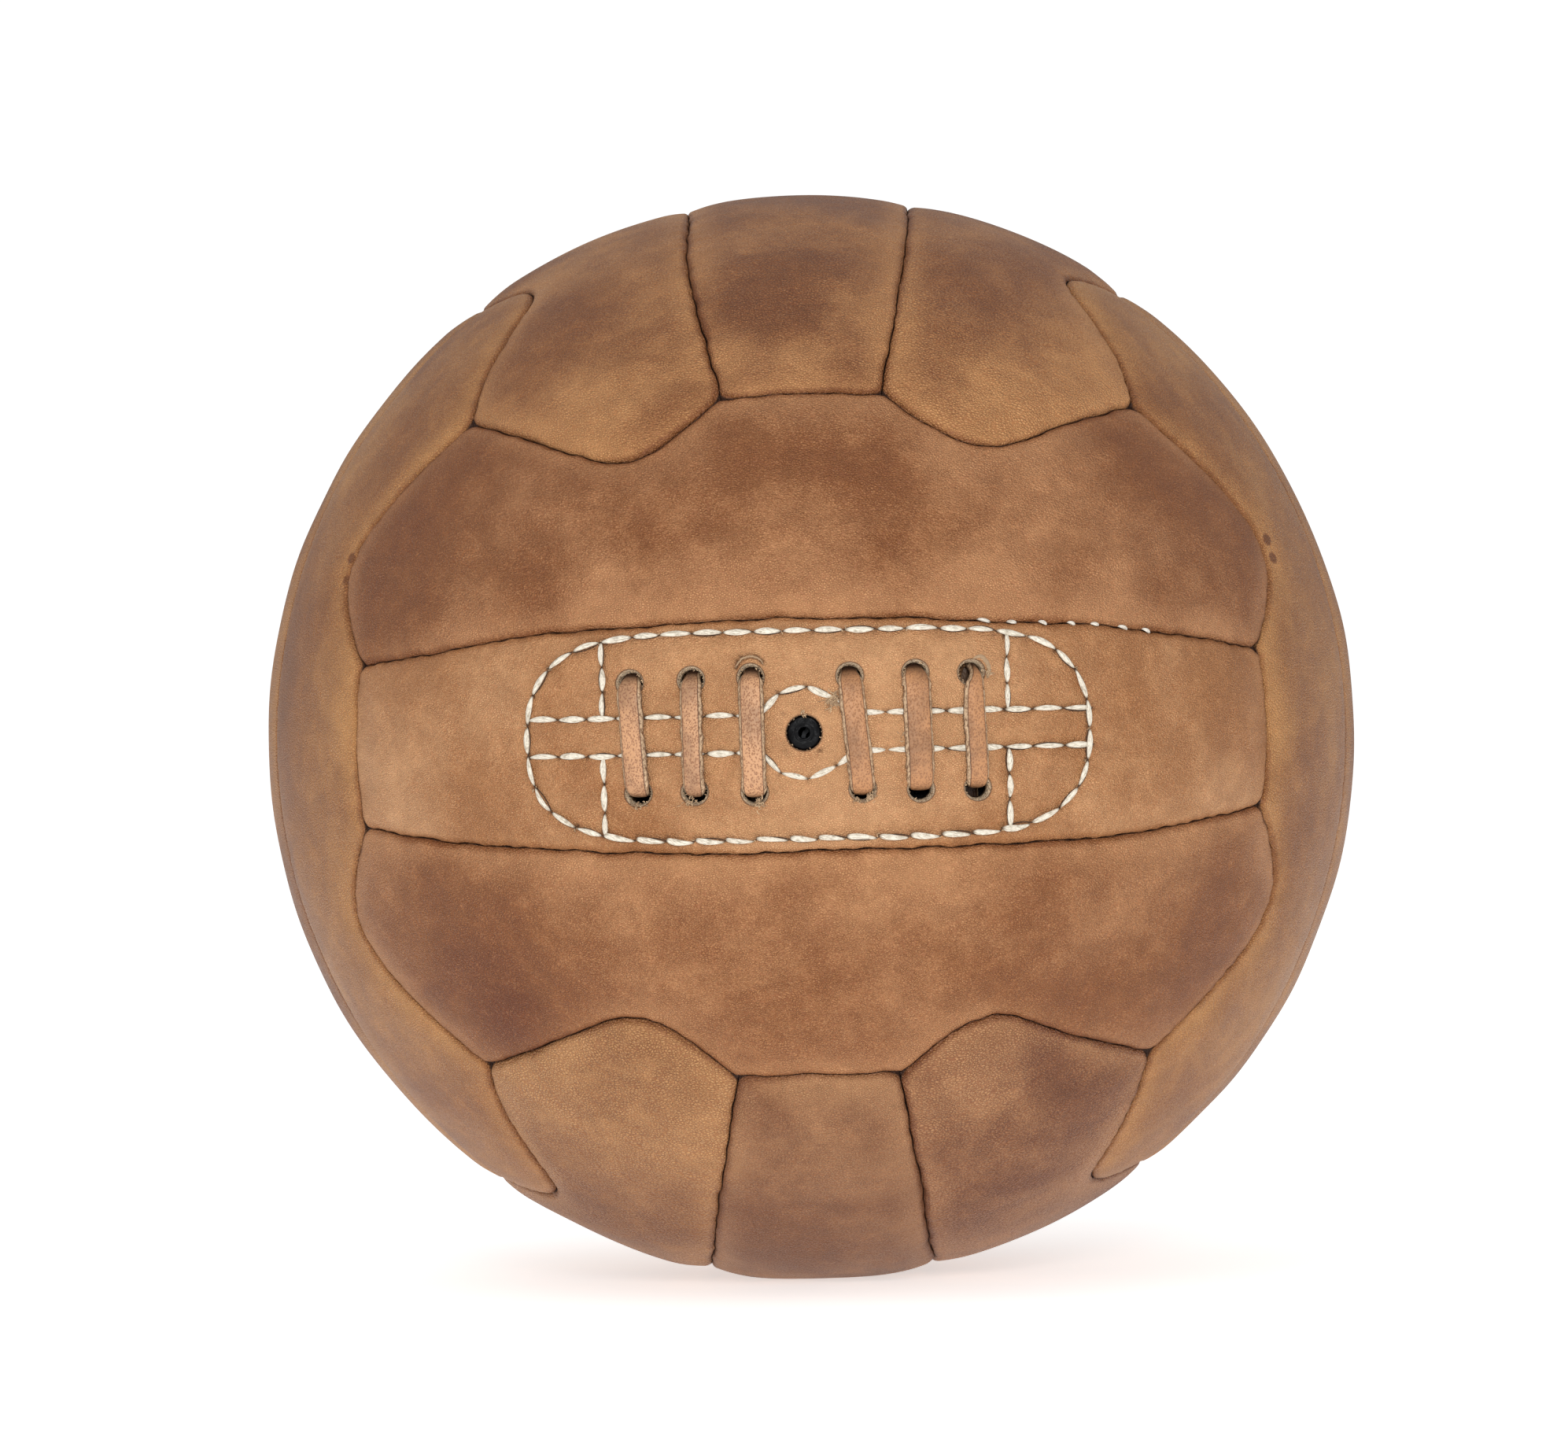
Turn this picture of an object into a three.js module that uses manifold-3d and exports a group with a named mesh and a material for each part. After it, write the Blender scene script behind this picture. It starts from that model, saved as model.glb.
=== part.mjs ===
// A laced leather medicine ball: eighteen scalloped panels sewn round an air bladder.
// The ball is built about its own centre and lifted so that it stands on z = 0.
// The laced panel faces -Y. Lengths are in millimetres and angles in degrees.
import * as THREE from "three";
import { mergeVertices } from "three/addons/utils/BufferGeometryUtils.js";
import Module from "manifold-3d";

// Ball and shell
const BALL_RADIUS = 110;
const REST_PATCH_RADIUS = 14; // the soft ball flattens where it stands
const LEATHER = 2.6;
const FOLD_WIDTH = 2.6; // the rounded edge of a panel where it turns in to the seam
const FOLD_DROP = 2.4; // how far the seam lies under the crown
const FLANGE_RADIUS = 103.4; // how deep the turned-in edges reach
const HALF_GAP = 0.2; // each panel stops this far from its seam line

// Panel pattern, as angles seen from the ball's centre
const CORNER = THREE.MathUtils.radToDeg(Math.asin(1 / Math.sqrt(3)));
const CREST_ANGLE = 34.8; // flat middle of the scalloped edge
const TIP_ANGLE = 24.6; // where the two straight flanks of a scallop would cross
const TIP_AT = 18.25; // how far the scallop's tip is from the middle of the edge
const FLANK_SLOPE = 1.03; // from the tip up to the crest
const TIP_ROUNDING = 6.2;
const SEAM_ANGLE = 11.8; // half width of a middle strip at its middle
const SEAM_SPREAD = 1.5; // how much wider it is at SPREAD_AT
const SPREAD_AT = 52;
const FLANK_KNOTS = [12.5, 26]; // mesh lines either side of the tip
const BISECTIONS = 50;

// Lining, reinforcement and tongue behind the leather
const LINING_RADIUS = 106.1;
const LINING = 1.1;
const LINING_INSET = 6;
const LINING_CELLS = { columns: 8, rows: 2 };
const REINFORCEMENT = {
  radius: 106.3,
  thickness: 1.2,
  halfLength: 57,
  halfHeight: 16.5,
  columns: 8,
  rows: 4,
};
const TONGUE = {
  radius: 102.85,
  thickness: 0.9,
  halfLength: 44,
  halfHeight: 15,
  columns: 7,
  rows: 3,
};
const TONGUE_HOLE = 4.2;

// Bladder and valve
const BLADDER_RADIUS = 101.3;
const BLADDER_WALL = 3.4;
const BLADDER_NECK = 3.75;
const BLADDER_STEPS = 10;
const BLADDER_SEGMENTS = 18;
const VALVE_HOLE = 3.85;
const VALVE = { stem: 3.35, top: 109.3, foot: 90, flange: 8, flangeTop: 96.4, flangeBase: 94.9 };
const VALVE_ROUNDING = 0.5;
const VALVE_SEGMENTS = 16;
const NEEDLE_BORE = 1.05;
const NEEDLE_THROAT = 4;
const CORE_CHAMBER = 2.2;
const CORE_RADIUS = 1.85;
const CORE_TOP = 105;
const CORE_BASE = 92;
const NEEDLE_DEPTH = 9;
const CORE_SEGMENTS = 12;

// Lace, in x and z on the laced panel
const BAR_PLACES = [9.9, 21.1, 32.2];
const LACE = { width: 4.8, thickness: 1.4, over: 111.75, under: 103.95 };
const LACE_PASSAGE = 10.5; // z where the lace goes through the leather
const LACE_TURN = 1.2; // how far it takes to turn under the leather
const LACE_SHOULDER = { in: 0.7, drop: 0.3 }; // where it bends over the hole's edge
const LACE_LEVEL_AT = 2.2; // how far in from the passage the bar lies level
const LACE_END = 17;
const LACE_UNDER_STEPS = 3;
const LACE_HOLE = { radius: 2.7, low: 10, high: 11 };

// Decorative stitching round the lacing
const STITCH = { width: 1, thickness: 0.5, radius: 110.55 };
const OUTLINE = { halfLength: 53.6, halfHeight: 20, endPower: 6, sidePower: 2.5 };
const CENTRE_LINE = 3.55;
const VALVE_RING = 8.6;
const RING_APPROACH = 1.5; // where a centre line starts to swing round the valve
const TICK_AT = 38.1;
const STITCH_CLEARANCE = 0.9;
const TICK_CLEARANCE = 1.2;
const OUTLINE_OPENING = 0.004; // part of the outline left open where its ends meet
const STITCH_STEPS = { shape: 160, outline: 44, run: 4, ring: 8, centre: 30, tick: 4 };

// Thread in the seams
const SEAM_THREAD = { size: 0.36, radius: 109.3 };

// Tools that cut holes and the resting patch
const HOLE_CUTTER = { outermost: 120, depth: 30, curveSegments: 4 };
const PATCH_CUTTER = 80;
const MERGE_DISTANCE = 1e-4;

const CENTRE_HEIGHT = Math.sqrt(BALL_RADIUS ** 2 - REST_PATCH_RADIUS ** 2);

const FINISH = {
  leather: { color: 0xb07a4c, roughness: 0.55, metalness: 0 },
  darkLeather: { color: 0x9a6440, roughness: 0.52, metalness: 0 },
  lacedLeather: { color: 0xba8453, roughness: 0.6, metalness: 0 },
  laceLeather: { color: 0xa8714a, roughness: 0.6, metalness: 0 },
  lining: { color: 0xcdbf9f, roughness: 0.95, metalness: 0 },
  canvas: { color: 0x8d7352, roughness: 0.9, metalness: 0 },
  bladder: { color: 0x2a2624, roughness: 0.6, metalness: 0 },
  valve: { color: 0x1c1c1e, roughness: 0.45, metalness: 0 },
  core: { color: 0x3a3a3c, roughness: 0.5, metalness: 0 },
  thread: { color: 0xd9d2c2, roughness: 0.7, metalness: 0 },
  seamThread: { color: 0x8a6a4a, roughness: 0.8, metalness: 0 },
};

// Each face of the ball has three strips. They run along one axis, and the name of the
// strip on the positive side of the crossing axis comes first.
const FACES = [
  { name: "front", normal: [0, -1, 0], along: [1, 0, 0], sides: ["upper", "lower"] },
  { name: "back", normal: [0, 1, 0], along: [1, 0, 0], sides: ["lower", "upper"] },
  { name: "top", normal: [0, 0, 1], along: [0, 1, 0], sides: ["left", "right"] },
  { name: "bottom", normal: [0, 0, -1], along: [0, 1, 0], sides: ["right", "left"] },
  { name: "left", normal: [-1, 0, 0], along: [0, 0, 1], sides: ["rear", "forward"] },
  { name: "right", normal: [1, 0, 0], along: [0, 0, 1], sides: ["forward", "rear"] },
].map((face) => {
  const normal = new THREE.Vector3(...face.normal);
  const along = new THREE.Vector3(...face.along);
  return { ...face, normal, along, across: normal.clone().cross(along) };
});

const wasm = await Module();
wasm.setup();

const radians = THREE.MathUtils.degToRad;
const degrees = THREE.MathUtils.radToDeg;
const Z_AXIS = new THREE.Vector3(0, 0, 1);

// --- Solids ---------------------------------------------------------------------------

function toSolid(geometry) {
  const bare = geometry.clone();
  bare.deleteAttribute("normal");
  bare.deleteAttribute("uv");
  const merged = mergeVertices(bare, MERGE_DISTANCE);
  const mesh = new wasm.Mesh({
    numProp: 3,
    vertProperties: merged.getAttribute("position").array,
    triVerts: new Uint32Array(merged.getIndex().array),
  });
  return new wasm.Manifold(mesh);
}

function toGeometry(solid) {
  const mesh = solid.getMesh();
  const geometry = new THREE.BufferGeometry();
  geometry.setAttribute("position", new THREE.BufferAttribute(mesh.vertProperties, 3));
  geometry.setIndex(new THREE.BufferAttribute(mesh.triVerts, 1));
  geometry.computeVertexNormals();
  return geometry;
}

function cut(geometry, cutters) {
  const rest = cutters.reduce((solid, cutter) => solid.subtract(toSolid(cutter)), toSolid(geometry));
  return toGeometry(rest);
}

// A box of columns by rows cells whose corners are put where place(column, row, outer) says.
function warpedBox(columns, rows, place) {
  const geometry = new THREE.BoxGeometry(1, 1, 1, columns, rows, 1);
  const position = geometry.getAttribute("position");
  for (let k = 0; k < position.count; k++) {
    const column = Math.round((position.getX(k) + 0.5) * columns);
    const row = Math.round((position.getY(k) + 0.5) * rows);
    const point = place(column, row, position.getZ(k) > 0);
    position.setXYZ(k, point.x, point.y, point.z);
  }
  geometry.computeVertexNormals();
  return geometry;
}

// A strip of constant section along a list of points; across(point, tangent) is its width.
function ribbon(points, width, thickness, across) {
  const last = points.length - 1;
  const frames = points.map((point, i) => {
    const before = points[Math.max(i - 1, 0)];
    const after = points[Math.min(i + 1, last)];
    const tangent = after.clone().sub(before).normalize();
    const side = across(point, tangent).normalize();
    return { point, side, up: tangent.clone().cross(side).normalize() };
  });
  return warpedBox(last, 1, (column, row, outer) => {
    const { point, side, up } = frames[column];
    return point
      .clone()
      .addScaledVector(side, (row - 0.5) * width)
      .addScaledVector(up, (outer ? 0.5 : -0.5) * thickness);
  });
}

// --- Panel pattern --------------------------------------------------------------------

// Angle from a face's normal to its scalloped edge, at an angle phi along the edge.
function waveAngle(phi) {
  const outward = Math.abs(phi) - TIP_AT;
  const inner = Math.min(CREST_ANGLE, TIP_ANGLE - FLANK_SLOPE * outward);
  const innerAtCorner = TIP_ANGLE - FLANK_SLOPE * (CORNER - TIP_AT);
  const outerAtCorner = 45 - TIP_ROUNDING ** 2 / (45 - innerAtCorner);
  const outer = TIP_ANGLE + ((outerAtCorner - TIP_ANGLE) * outward) / (CORNER - TIP_AT);
  return (inner + outer) / 2 + Math.hypot((inner - outer) / 2, TIP_ROUNDING);
}

// Angle from a face's middle line to the straight seam beside its middle strip.
function seamAngle(phi) {
  return SEAM_ANGLE + SEAM_SPREAD * (phi / SPREAD_AT) ** 2;
}

// A direction by its angle along a face's strips and its angle across them.
function direction(face, phi, psi) {
  const around = Math.cos(radians(phi));
  return new THREE.Vector3()
    .addScaledVector(face.along, Math.sin(radians(phi)))
    .addScaledVector(face.normal, around * Math.cos(radians(psi)))
    .addScaledVector(face.across, around * Math.sin(radians(psi)));
}

// A point of the scalloped edge that closes the ends of a face's strips.
function endDirection(face, end, theta) {
  const around = Math.cos(radians(theta));
  const wave = radians(waveAngle(theta));
  return new THREE.Vector3()
    .addScaledVector(face.across, Math.sin(radians(theta)))
    .addScaledVector(face.along, end * around * Math.cos(wave))
    .addScaledVector(face.normal, around * Math.sin(wave));
}

// Where a straight seam meets the scalloped edge: its angle on each of the two curves.
function findJunction() {
  const face = FACES[0];
  let low = 0;
  let high = TIP_AT;
  let phi = 0;
  for (let i = 0; i < BISECTIONS; i++) {
    const theta = (low + high) / 2;
    const end = endDirection(face, 1, theta);
    phi = degrees(Math.asin(end.dot(face.along)));
    const psi = degrees(Math.atan2(end.dot(face.across), end.dot(face.normal)));
    if (psi < seamAngle(phi)) low = theta;
    else high = theta;
  }
  return { onWave: (low + high) / 2, onSeam: phi };
}

const JUNCTION = findJunction();
const SIDE_KNOTS = [JUNCTION.onWave, FLANK_KNOTS[0], TIP_AT, FLANK_KNOTS[1], CORNER];
const MIDDLE_KNOTS = [-1, -1 / 3, 1 / 3, 1].map((part) => part * JUNCTION.onWave);
const WAVE_KNOTS = [
  ...SIDE_KNOTS.map((knot) => -knot).reverse(),
  ...MIDDLE_KNOTS.slice(1, -1),
  ...SIDE_KNOTS,
];

const seamPoint = (face, side, s) => {
  const phi = JUNCTION.onSeam * (2 * s - 1);
  return direction(face, phi, side * seamAngle(phi));
};
const wavePoint = (face, side, s) => {
  const phi = CORNER * (2 * s - 1);
  return direction(face, phi, side * waveAngle(phi));
};

const spread = (knots) => knots.map((knot) => (knot - knots[0]) / (knots.at(-1) - knots[0]));
const evenly = (count) => Array.from({ length: count + 1 }, (_, i) => i / count);

// The middle strip is strip 0; strips 1 and -1 lie beside it.
function makeStrip(face, strip) {
  const borders = {
    "-1": [(s) => wavePoint(face, -1, s), (s) => seamPoint(face, -1, s)],
    0: [(s) => seamPoint(face, -1, s), (s) => seamPoint(face, 1, s)],
    1: [(s) => seamPoint(face, 1, s), (s) => wavePoint(face, 1, s)],
  }[strip];
  const sideKnots = strip < 0 ? WAVE_KNOTS.slice(0, SIDE_KNOTS.length) : SIDE_KNOTS;
  const endKnots = strip === 0 ? MIDDLE_KNOTS : sideKnots;
  const first = endKnots[0];
  const last = endKnots.at(-1);
  const endPoint = (end, t) => endDirection(face, end, first + (last - first) * t);

  // Coons patch between the four borders, pushed out to the unit sphere
  const at = (s, t) => {
    const corners = [endPoint(-1, 0), endPoint(1, 0), endPoint(-1, 1), endPoint(1, 1)];
    return borders[0](s)
      .multiplyScalar(1 - t)
      .addScaledVector(borders[1](s), t)
      .addScaledVector(endPoint(-1, t), 1 - s)
      .addScaledVector(endPoint(1, t), s)
      .addScaledVector(corners[0], -(1 - s) * (1 - t))
      .addScaledVector(corners[1], -s * (1 - t))
      .addScaledVector(corners[2], -(1 - s) * t)
      .addScaledVector(corners[3], -s * t)
      .normalize();
  };
  const length = BALL_RADIUS * at(0, 0.5).angleTo(at(1, 0.5));
  const width = BALL_RADIUS * at(0.5, 0).angleTo(at(0.5, 1));
  return { at, length, width, endKnots };
}

const inset = (part, margin) => margin + (1 - 2 * margin) * part;

// --- Leather, lining and reinforcement ------------------------------------------------

function panelGeometry(face, strip) {
  const { at, length, width, endKnots } = makeStrip(face, strip);
  const foldAlong = FOLD_WIDTH / length;
  const foldAcross = FOLD_WIDTH / width;
  const columns = [0, foldAlong, ...spread(WAVE_KNOTS).slice(1, -1), 1 - foldAlong, 1];
  const rows = [0, foldAcross, ...spread(endKnots).slice(1, -1), 1 - foldAcross, 1];
  const lastColumn = columns.length - 1;
  const lastRow = rows.length - 1;
  return warpedBox(lastColumn, lastRow, (i, j, outer) => {
    const rim = i === 0 || j === 0 || i === lastColumn || j === lastRow;
    const s = inset(columns[i], HALF_GAP / length);
    const t = inset(rows[j], HALF_GAP / width);
    const outerRadius = rim ? BALL_RADIUS - FOLD_DROP : BALL_RADIUS;
    const innerRadius = rim ? FLANGE_RADIUS : BALL_RADIUS - LEATHER;
    return at(s, t).multiplyScalar(outer ? outerRadius : innerRadius);
  });
}

function liningGeometry(face, strip) {
  const { at, length, width } = makeStrip(face, strip);
  const { columns, rows } = LINING_CELLS;
  return warpedBox(columns, rows, (i, j, outer) => {
    const s = inset(i / columns, LINING_INSET / length);
    const t = inset(j / rows, LINING_INSET / width);
    return at(s, t).multiplyScalar(outer ? LINING_RADIUS : LINING_RADIUS - LINING);
  });
}

// --- Laced panel ----------------------------------------------------------------------

// A point over the laced panel: x and z on the ball's surface, then out to a radius.
function shellPoint(x, z, radius) {
  const depth = Math.sqrt(BALL_RADIUS ** 2 - x ** 2 - z ** 2);
  return new THREE.Vector3(x, -depth, z).multiplyScalar(radius / BALL_RADIUS);
}

// A prism through the shell along the ball's radius at x and z.
function shellCutter(shape, x, z) {
  const { outermost, depth, curveSegments } = HOLE_CUTTER;
  const geometry = new THREE.ExtrudeGeometry(shape, { depth, bevelEnabled: false, curveSegments });
  const frame = new THREE.Matrix4();
  const radial = shellPoint(x, z, 1).normalize();
  const side = Z_AXIS.clone().cross(radial).normalize();
  frame.makeBasis(side, radial.clone().cross(side), radial);
  frame.setPosition(radial.clone().multiplyScalar(outermost - depth));
  return geometry.applyMatrix4(frame);
}

function roundHole(radius) {
  return new THREE.Shape().absarc(0, 0, radius, 0, 2 * Math.PI, false);
}

function laceHole(radius, halfSpan) {
  const shape = new THREE.Shape();
  shape.absarc(0, halfSpan, radius, 0, Math.PI, false);
  shape.absarc(0, -halfSpan, radius, Math.PI, 2 * Math.PI, false);
  return shape;
}

function laceHoleCutters() {
  const halfSpan = (LACE_HOLE.high - LACE_HOLE.low) / 2;
  const middle = (LACE_HOLE.high + LACE_HOLE.low) / 2;
  const shape = laceHole(LACE_HOLE.radius, halfSpan);
  return BAR_PLACES.flatMap((place) =>
    [-1, 1].flatMap((side) => [-1, 1].map((row) => shellCutter(shape, side * place, row * middle))),
  );
}

// The thong goes over in bars and back under the leather to the next bar.
function laceGeometry(side) {
  const points = [];
  const put = (x, z, radius) => points.push(shellPoint(x, z, radius));
  const { over, under } = LACE;
  const rise = [
    [LACE_PASSAGE, under + LACE_TURN],
    [LACE_PASSAGE, BALL_RADIUS - LEATHER],
    [LACE_PASSAGE, BALL_RADIUS + LACE_SHOULDER.drop],
    [LACE_PASSAGE - LACE_SHOULDER.in, over - LACE_SHOULDER.drop],
    [LACE_PASSAGE - LACE_LEVEL_AT, over],
    [LACE_PASSAGE / 3, over],
  ];
  const bars = BAR_PLACES.map((place) => side * place);
  put(bars[0], LACE_END, under);
  put(bars[0], LACE_PASSAGE + LACE_TURN, under);
  bars.forEach((x, i) => {
    rise.forEach(([z, radius]) => put(x, z, radius));
    [...rise].reverse().forEach(([z, radius]) => put(x, -z, radius));
    if (i === bars.length - 1) return;
    const next = bars[i + 1];
    const away = LACE_PASSAGE - LACE_TURN;
    for (const part of evenly(LACE_UNDER_STEPS)) {
      put(THREE.MathUtils.lerp(x, next, part), THREE.MathUtils.lerp(-away, away, part), under);
    }
  });
  put(bars.at(-1), -LACE_PASSAGE - LACE_TURN, under);
  put(bars.at(-1), -LACE_END, under);
  const level = (point) => Z_AXIS.clone().cross(point);
  return ribbon(points, LACE.width, LACE.thickness, level);
}

// A rectangular patch that follows the shell behind the lacing.
function patchGeometry({ radius, thickness, halfLength, halfHeight, columns, rows }) {
  return warpedBox(columns, rows, (i, j, outer) => {
    const x = halfLength * (2 * (i / columns) - 1);
    const z = halfHeight * (2 * (j / rows) - 1);
    return shellPoint(x, z, outer ? radius : radius - thickness);
  });
}

// --- Stitching ------------------------------------------------------------------------

const lying = (point, tangent) => point.clone().cross(tangent);

function stitchLine(flatPoints, steps) {
  const flat = new THREE.CatmullRomCurve3(flatPoints.map(([x, z]) => new THREE.Vector3(x, z, 0)));
  const points = flat.getSpacedPoints(steps).map(({ x, y }) => shellPoint(x, y, STITCH.radius));
  return ribbon(points, STITCH.width, STITCH.thickness, lying);
}

function outlinePoint(turn) {
  const cosine = Math.cos(turn);
  const sine = Math.sin(turn);
  return [
    OUTLINE.halfLength * Math.sign(cosine) * Math.abs(cosine) ** (2 / OUTLINE.endPower),
    OUTLINE.halfHeight * Math.sign(sine) * Math.abs(sine) ** (2 / OUTLINE.sidePower),
  ];
}

// The outline starts and ends side by side at the middle of its right-hand end.
function outlineStitching() {
  const parts = evenly(STITCH_STEPS.shape);
  const turns = parts.map((part) => 2 * Math.PI * inset(part, OUTLINE_OPENING));
  return stitchLine(turns.map(outlinePoint), STITCH_STEPS.outline);
}

// One line along the middle of the lacing that swings round the valve.
function centreStitching(side) {
  const reach = OUTLINE.halfLength - STITCH_CLEARANCE;
  const meet = Math.sqrt(VALVE_RING ** 2 - CENTRE_LINE ** 2);
  const start = Math.atan2(CENTRE_LINE, -meet);
  const end = Math.atan2(CENTRE_LINE, meet);
  const runEnd = -meet - RING_APPROACH;
  const run = evenly(STITCH_STEPS.run).map((part) => THREE.MathUtils.lerp(-reach, runEnd, part));
  const ring = evenly(STITCH_STEPS.ring).map((part) => THREE.MathUtils.lerp(start, end, part));
  const points = [
    ...run.map((x) => [x, CENTRE_LINE]),
    ...ring.map((turn) => [VALVE_RING * Math.cos(turn), VALVE_RING * Math.sin(turn)]),
    ...run.map((x) => [-x, CENTRE_LINE]).reverse(),
  ];
  return stitchLine(points.map(([x, z]) => [x, side * z]), STITCH_STEPS.centre);
}

function tickStitching(x, side) {
  const outer = OUTLINE.halfHeight * (1 - Math.abs(x / OUTLINE.halfLength) ** OUTLINE.endPower)
    ** (1 / OUTLINE.sidePower);
  const from = CENTRE_LINE + STITCH_CLEARANCE;
  const to = outer - TICK_CLEARANCE;
  const points = [from, to].map((z) => [x, side * z]);
  return stitchLine(points, STITCH_STEPS.tick);
}

// One thread net lies in every seam: two straight seams a face and the scalloped edges.
function seamThread() {
  const knots = spread(WAVE_KNOTS);
  const runs = FACES.flatMap((face) =>
    [-1, 1].flatMap((side) =>
      [seamPoint, wavePoint].map((border) => knots.map((s) => border(face, side, s))),
    ),
  );
  const nets = runs.map((run) => {
    const points = run.map((point) => point.multiplyScalar(SEAM_THREAD.radius));
    return toSolid(ribbon(points, SEAM_THREAD.size, SEAM_THREAD.size, lying));
  });
  return toGeometry(nets.reduce((net, next) => net.add(next)));
}

// --- Bladder and valve, turned about the axis that points out through the laced panel --

function turned(profile, segments) {
  const points = profile.map(([radius, height]) => new THREE.Vector2(radius, height));
  return new THREE.LatheGeometry(points, segments).rotateX(Math.PI);
}

function bladderGeometry() {
  const arc = (radius) => {
    const neck = Math.asin(BLADDER_NECK / radius);
    return evenly(BLADDER_STEPS).map((part) => {
      const polar = THREE.MathUtils.lerp(neck, Math.PI, part);
      return [part === 1 ? 0 : radius * Math.sin(polar), radius * Math.cos(polar)];
    });
  };
  const outside = arc(BLADDER_RADIUS).reverse();
  const inside = arc(BLADDER_RADIUS - BLADDER_WALL);
  return turned([...outside, ...inside], BLADDER_SEGMENTS);
}

function valveBody() {
  const chamberTop = VALVE.top - NEEDLE_THROAT;
  return turned(
    [
      [CORE_CHAMBER, VALVE.foot],
      [VALVE.stem, VALVE.foot],
      [VALVE.stem, VALVE.flangeBase],
      [VALVE.flange, VALVE.flangeBase],
      [VALVE.flange, VALVE.flangeTop],
      [VALVE.stem, VALVE.flangeTop],
      [VALVE.stem, VALVE.top - VALVE_ROUNDING],
      [VALVE.stem - VALVE_ROUNDING, VALVE.top],
      [NEEDLE_BORE, VALVE.top],
      [NEEDLE_BORE, chamberTop],
      [CORE_CHAMBER, chamberTop],
      [CORE_CHAMBER, VALVE.foot],
    ],
    VALVE_SEGMENTS,
  );
}

function valveCore() {
  return turned(
    [
      [0, CORE_BASE],
      [CORE_RADIUS, CORE_BASE],
      [CORE_RADIUS, CORE_TOP],
      [NEEDLE_BORE, CORE_TOP],
      [NEEDLE_BORE, CORE_TOP - NEEDLE_DEPTH],
      [0, CORE_TOP - NEEDLE_DEPTH],
    ],
    CORE_SEGMENTS,
  );
}

// --- Assembly -------------------------------------------------------------------------

const ball = new THREE.Group();
ball.position.z = CENTRE_HEIGHT;

function addPiece(name, geometry, finish) {
  const mesh = new THREE.Mesh(geometry, new THREE.MeshStandardMaterial(FINISH[finish]));
  mesh.name = name;
  ball.add(mesh);
  return mesh;
}

const stripName = (face, strip) =>
  `${face.name}_${strip === 0 ? "middle" : face.sides[strip > 0 ? 0 : 1]}`;

function restPatchCutter() {
  const cube = new THREE.BoxGeometry(PATCH_CUTTER, PATCH_CUTTER, PATCH_CUTTER);
  return cube.translate(0, 0, -CENTRE_HEIGHT - PATCH_CUTTER / 2);
}

const laceHoles = [...laceHoleCutters(), shellCutter(roundHole(VALVE_HOLE), 0, 0)];

for (const face of FACES) {
  for (const strip of [-1, 0, 1]) {
    const name = stripName(face, strip);
    const laced = name === "front_middle";
    let leather = panelGeometry(face, strip);
    if (laced) leather = cut(leather, laceHoles);
    if (name === "bottom_middle") leather = cut(leather, [restPatchCutter()]);
    const dark = face.name === "front" && strip !== 0;
    const tone = dark ? "darkLeather" : "leather";
    addPiece(`${name}_panel`, leather, laced ? "lacedLeather" : tone);
    if (!laced) addPiece(`${name}_lining`, liningGeometry(face, strip), "lining");
  }
}

const tongueHole = shellCutter(roundHole(TONGUE_HOLE), 0, 0);
addPiece("lace_reinforcement", cut(patchGeometry(REINFORCEMENT), laceHoles), "canvas");
addPiece("lace_tongue", cut(patchGeometry(TONGUE), [tongueHole]), "canvas");
addPiece("lace_left", laceGeometry(-1), "laceLeather");
addPiece("lace_right", laceGeometry(1), "laceLeather");
addPiece("outline_stitching", outlineStitching(), "thread");
for (const [row, side] of [["upper", 1], ["lower", -1]]) {
  addPiece(`${row}_centre_stitching`, centreStitching(side), "thread");
  addPiece(`${row}_left_tick_stitching`, tickStitching(-TICK_AT, side), "thread");
  addPiece(`${row}_right_tick_stitching`, tickStitching(TICK_AT, side), "thread");
}
addPiece("seam_thread", seamThread(), "seamThread");

addPiece("bladder", bladderGeometry(), "bladder");
addPiece("valve_body", valveBody(), "valve");
addPiece("valve_core", valveCore(), "core");

const medicineBall = new THREE.Group();
medicineBall.add(ball);

export default medicineBall;
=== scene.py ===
"""The looks of a laced leather medicine ball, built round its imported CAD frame.

Shapes are worked out in millimetres from the ball's centre and written to Blender in metres.
"""

import math
from collections import namedtuple

import bpy
import numpy as np
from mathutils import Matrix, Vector, kdtree
from mathutils.geometry import delaunay_2d_cdt


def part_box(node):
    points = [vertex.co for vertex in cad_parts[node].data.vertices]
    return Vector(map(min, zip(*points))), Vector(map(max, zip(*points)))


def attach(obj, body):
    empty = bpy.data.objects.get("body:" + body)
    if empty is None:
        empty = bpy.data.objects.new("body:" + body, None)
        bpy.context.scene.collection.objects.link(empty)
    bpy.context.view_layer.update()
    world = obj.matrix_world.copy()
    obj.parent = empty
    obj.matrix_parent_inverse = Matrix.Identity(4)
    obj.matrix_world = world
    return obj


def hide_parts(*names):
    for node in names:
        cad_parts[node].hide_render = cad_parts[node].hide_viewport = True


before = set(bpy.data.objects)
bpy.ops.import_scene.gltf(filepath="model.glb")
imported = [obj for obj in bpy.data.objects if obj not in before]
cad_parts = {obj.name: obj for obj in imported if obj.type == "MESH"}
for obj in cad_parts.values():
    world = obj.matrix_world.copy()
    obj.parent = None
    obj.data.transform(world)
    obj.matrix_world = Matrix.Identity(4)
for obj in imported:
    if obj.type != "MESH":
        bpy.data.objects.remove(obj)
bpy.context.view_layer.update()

MM = 0.001

# --- Driving dimensions -----------------------------------------------------------------

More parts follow.
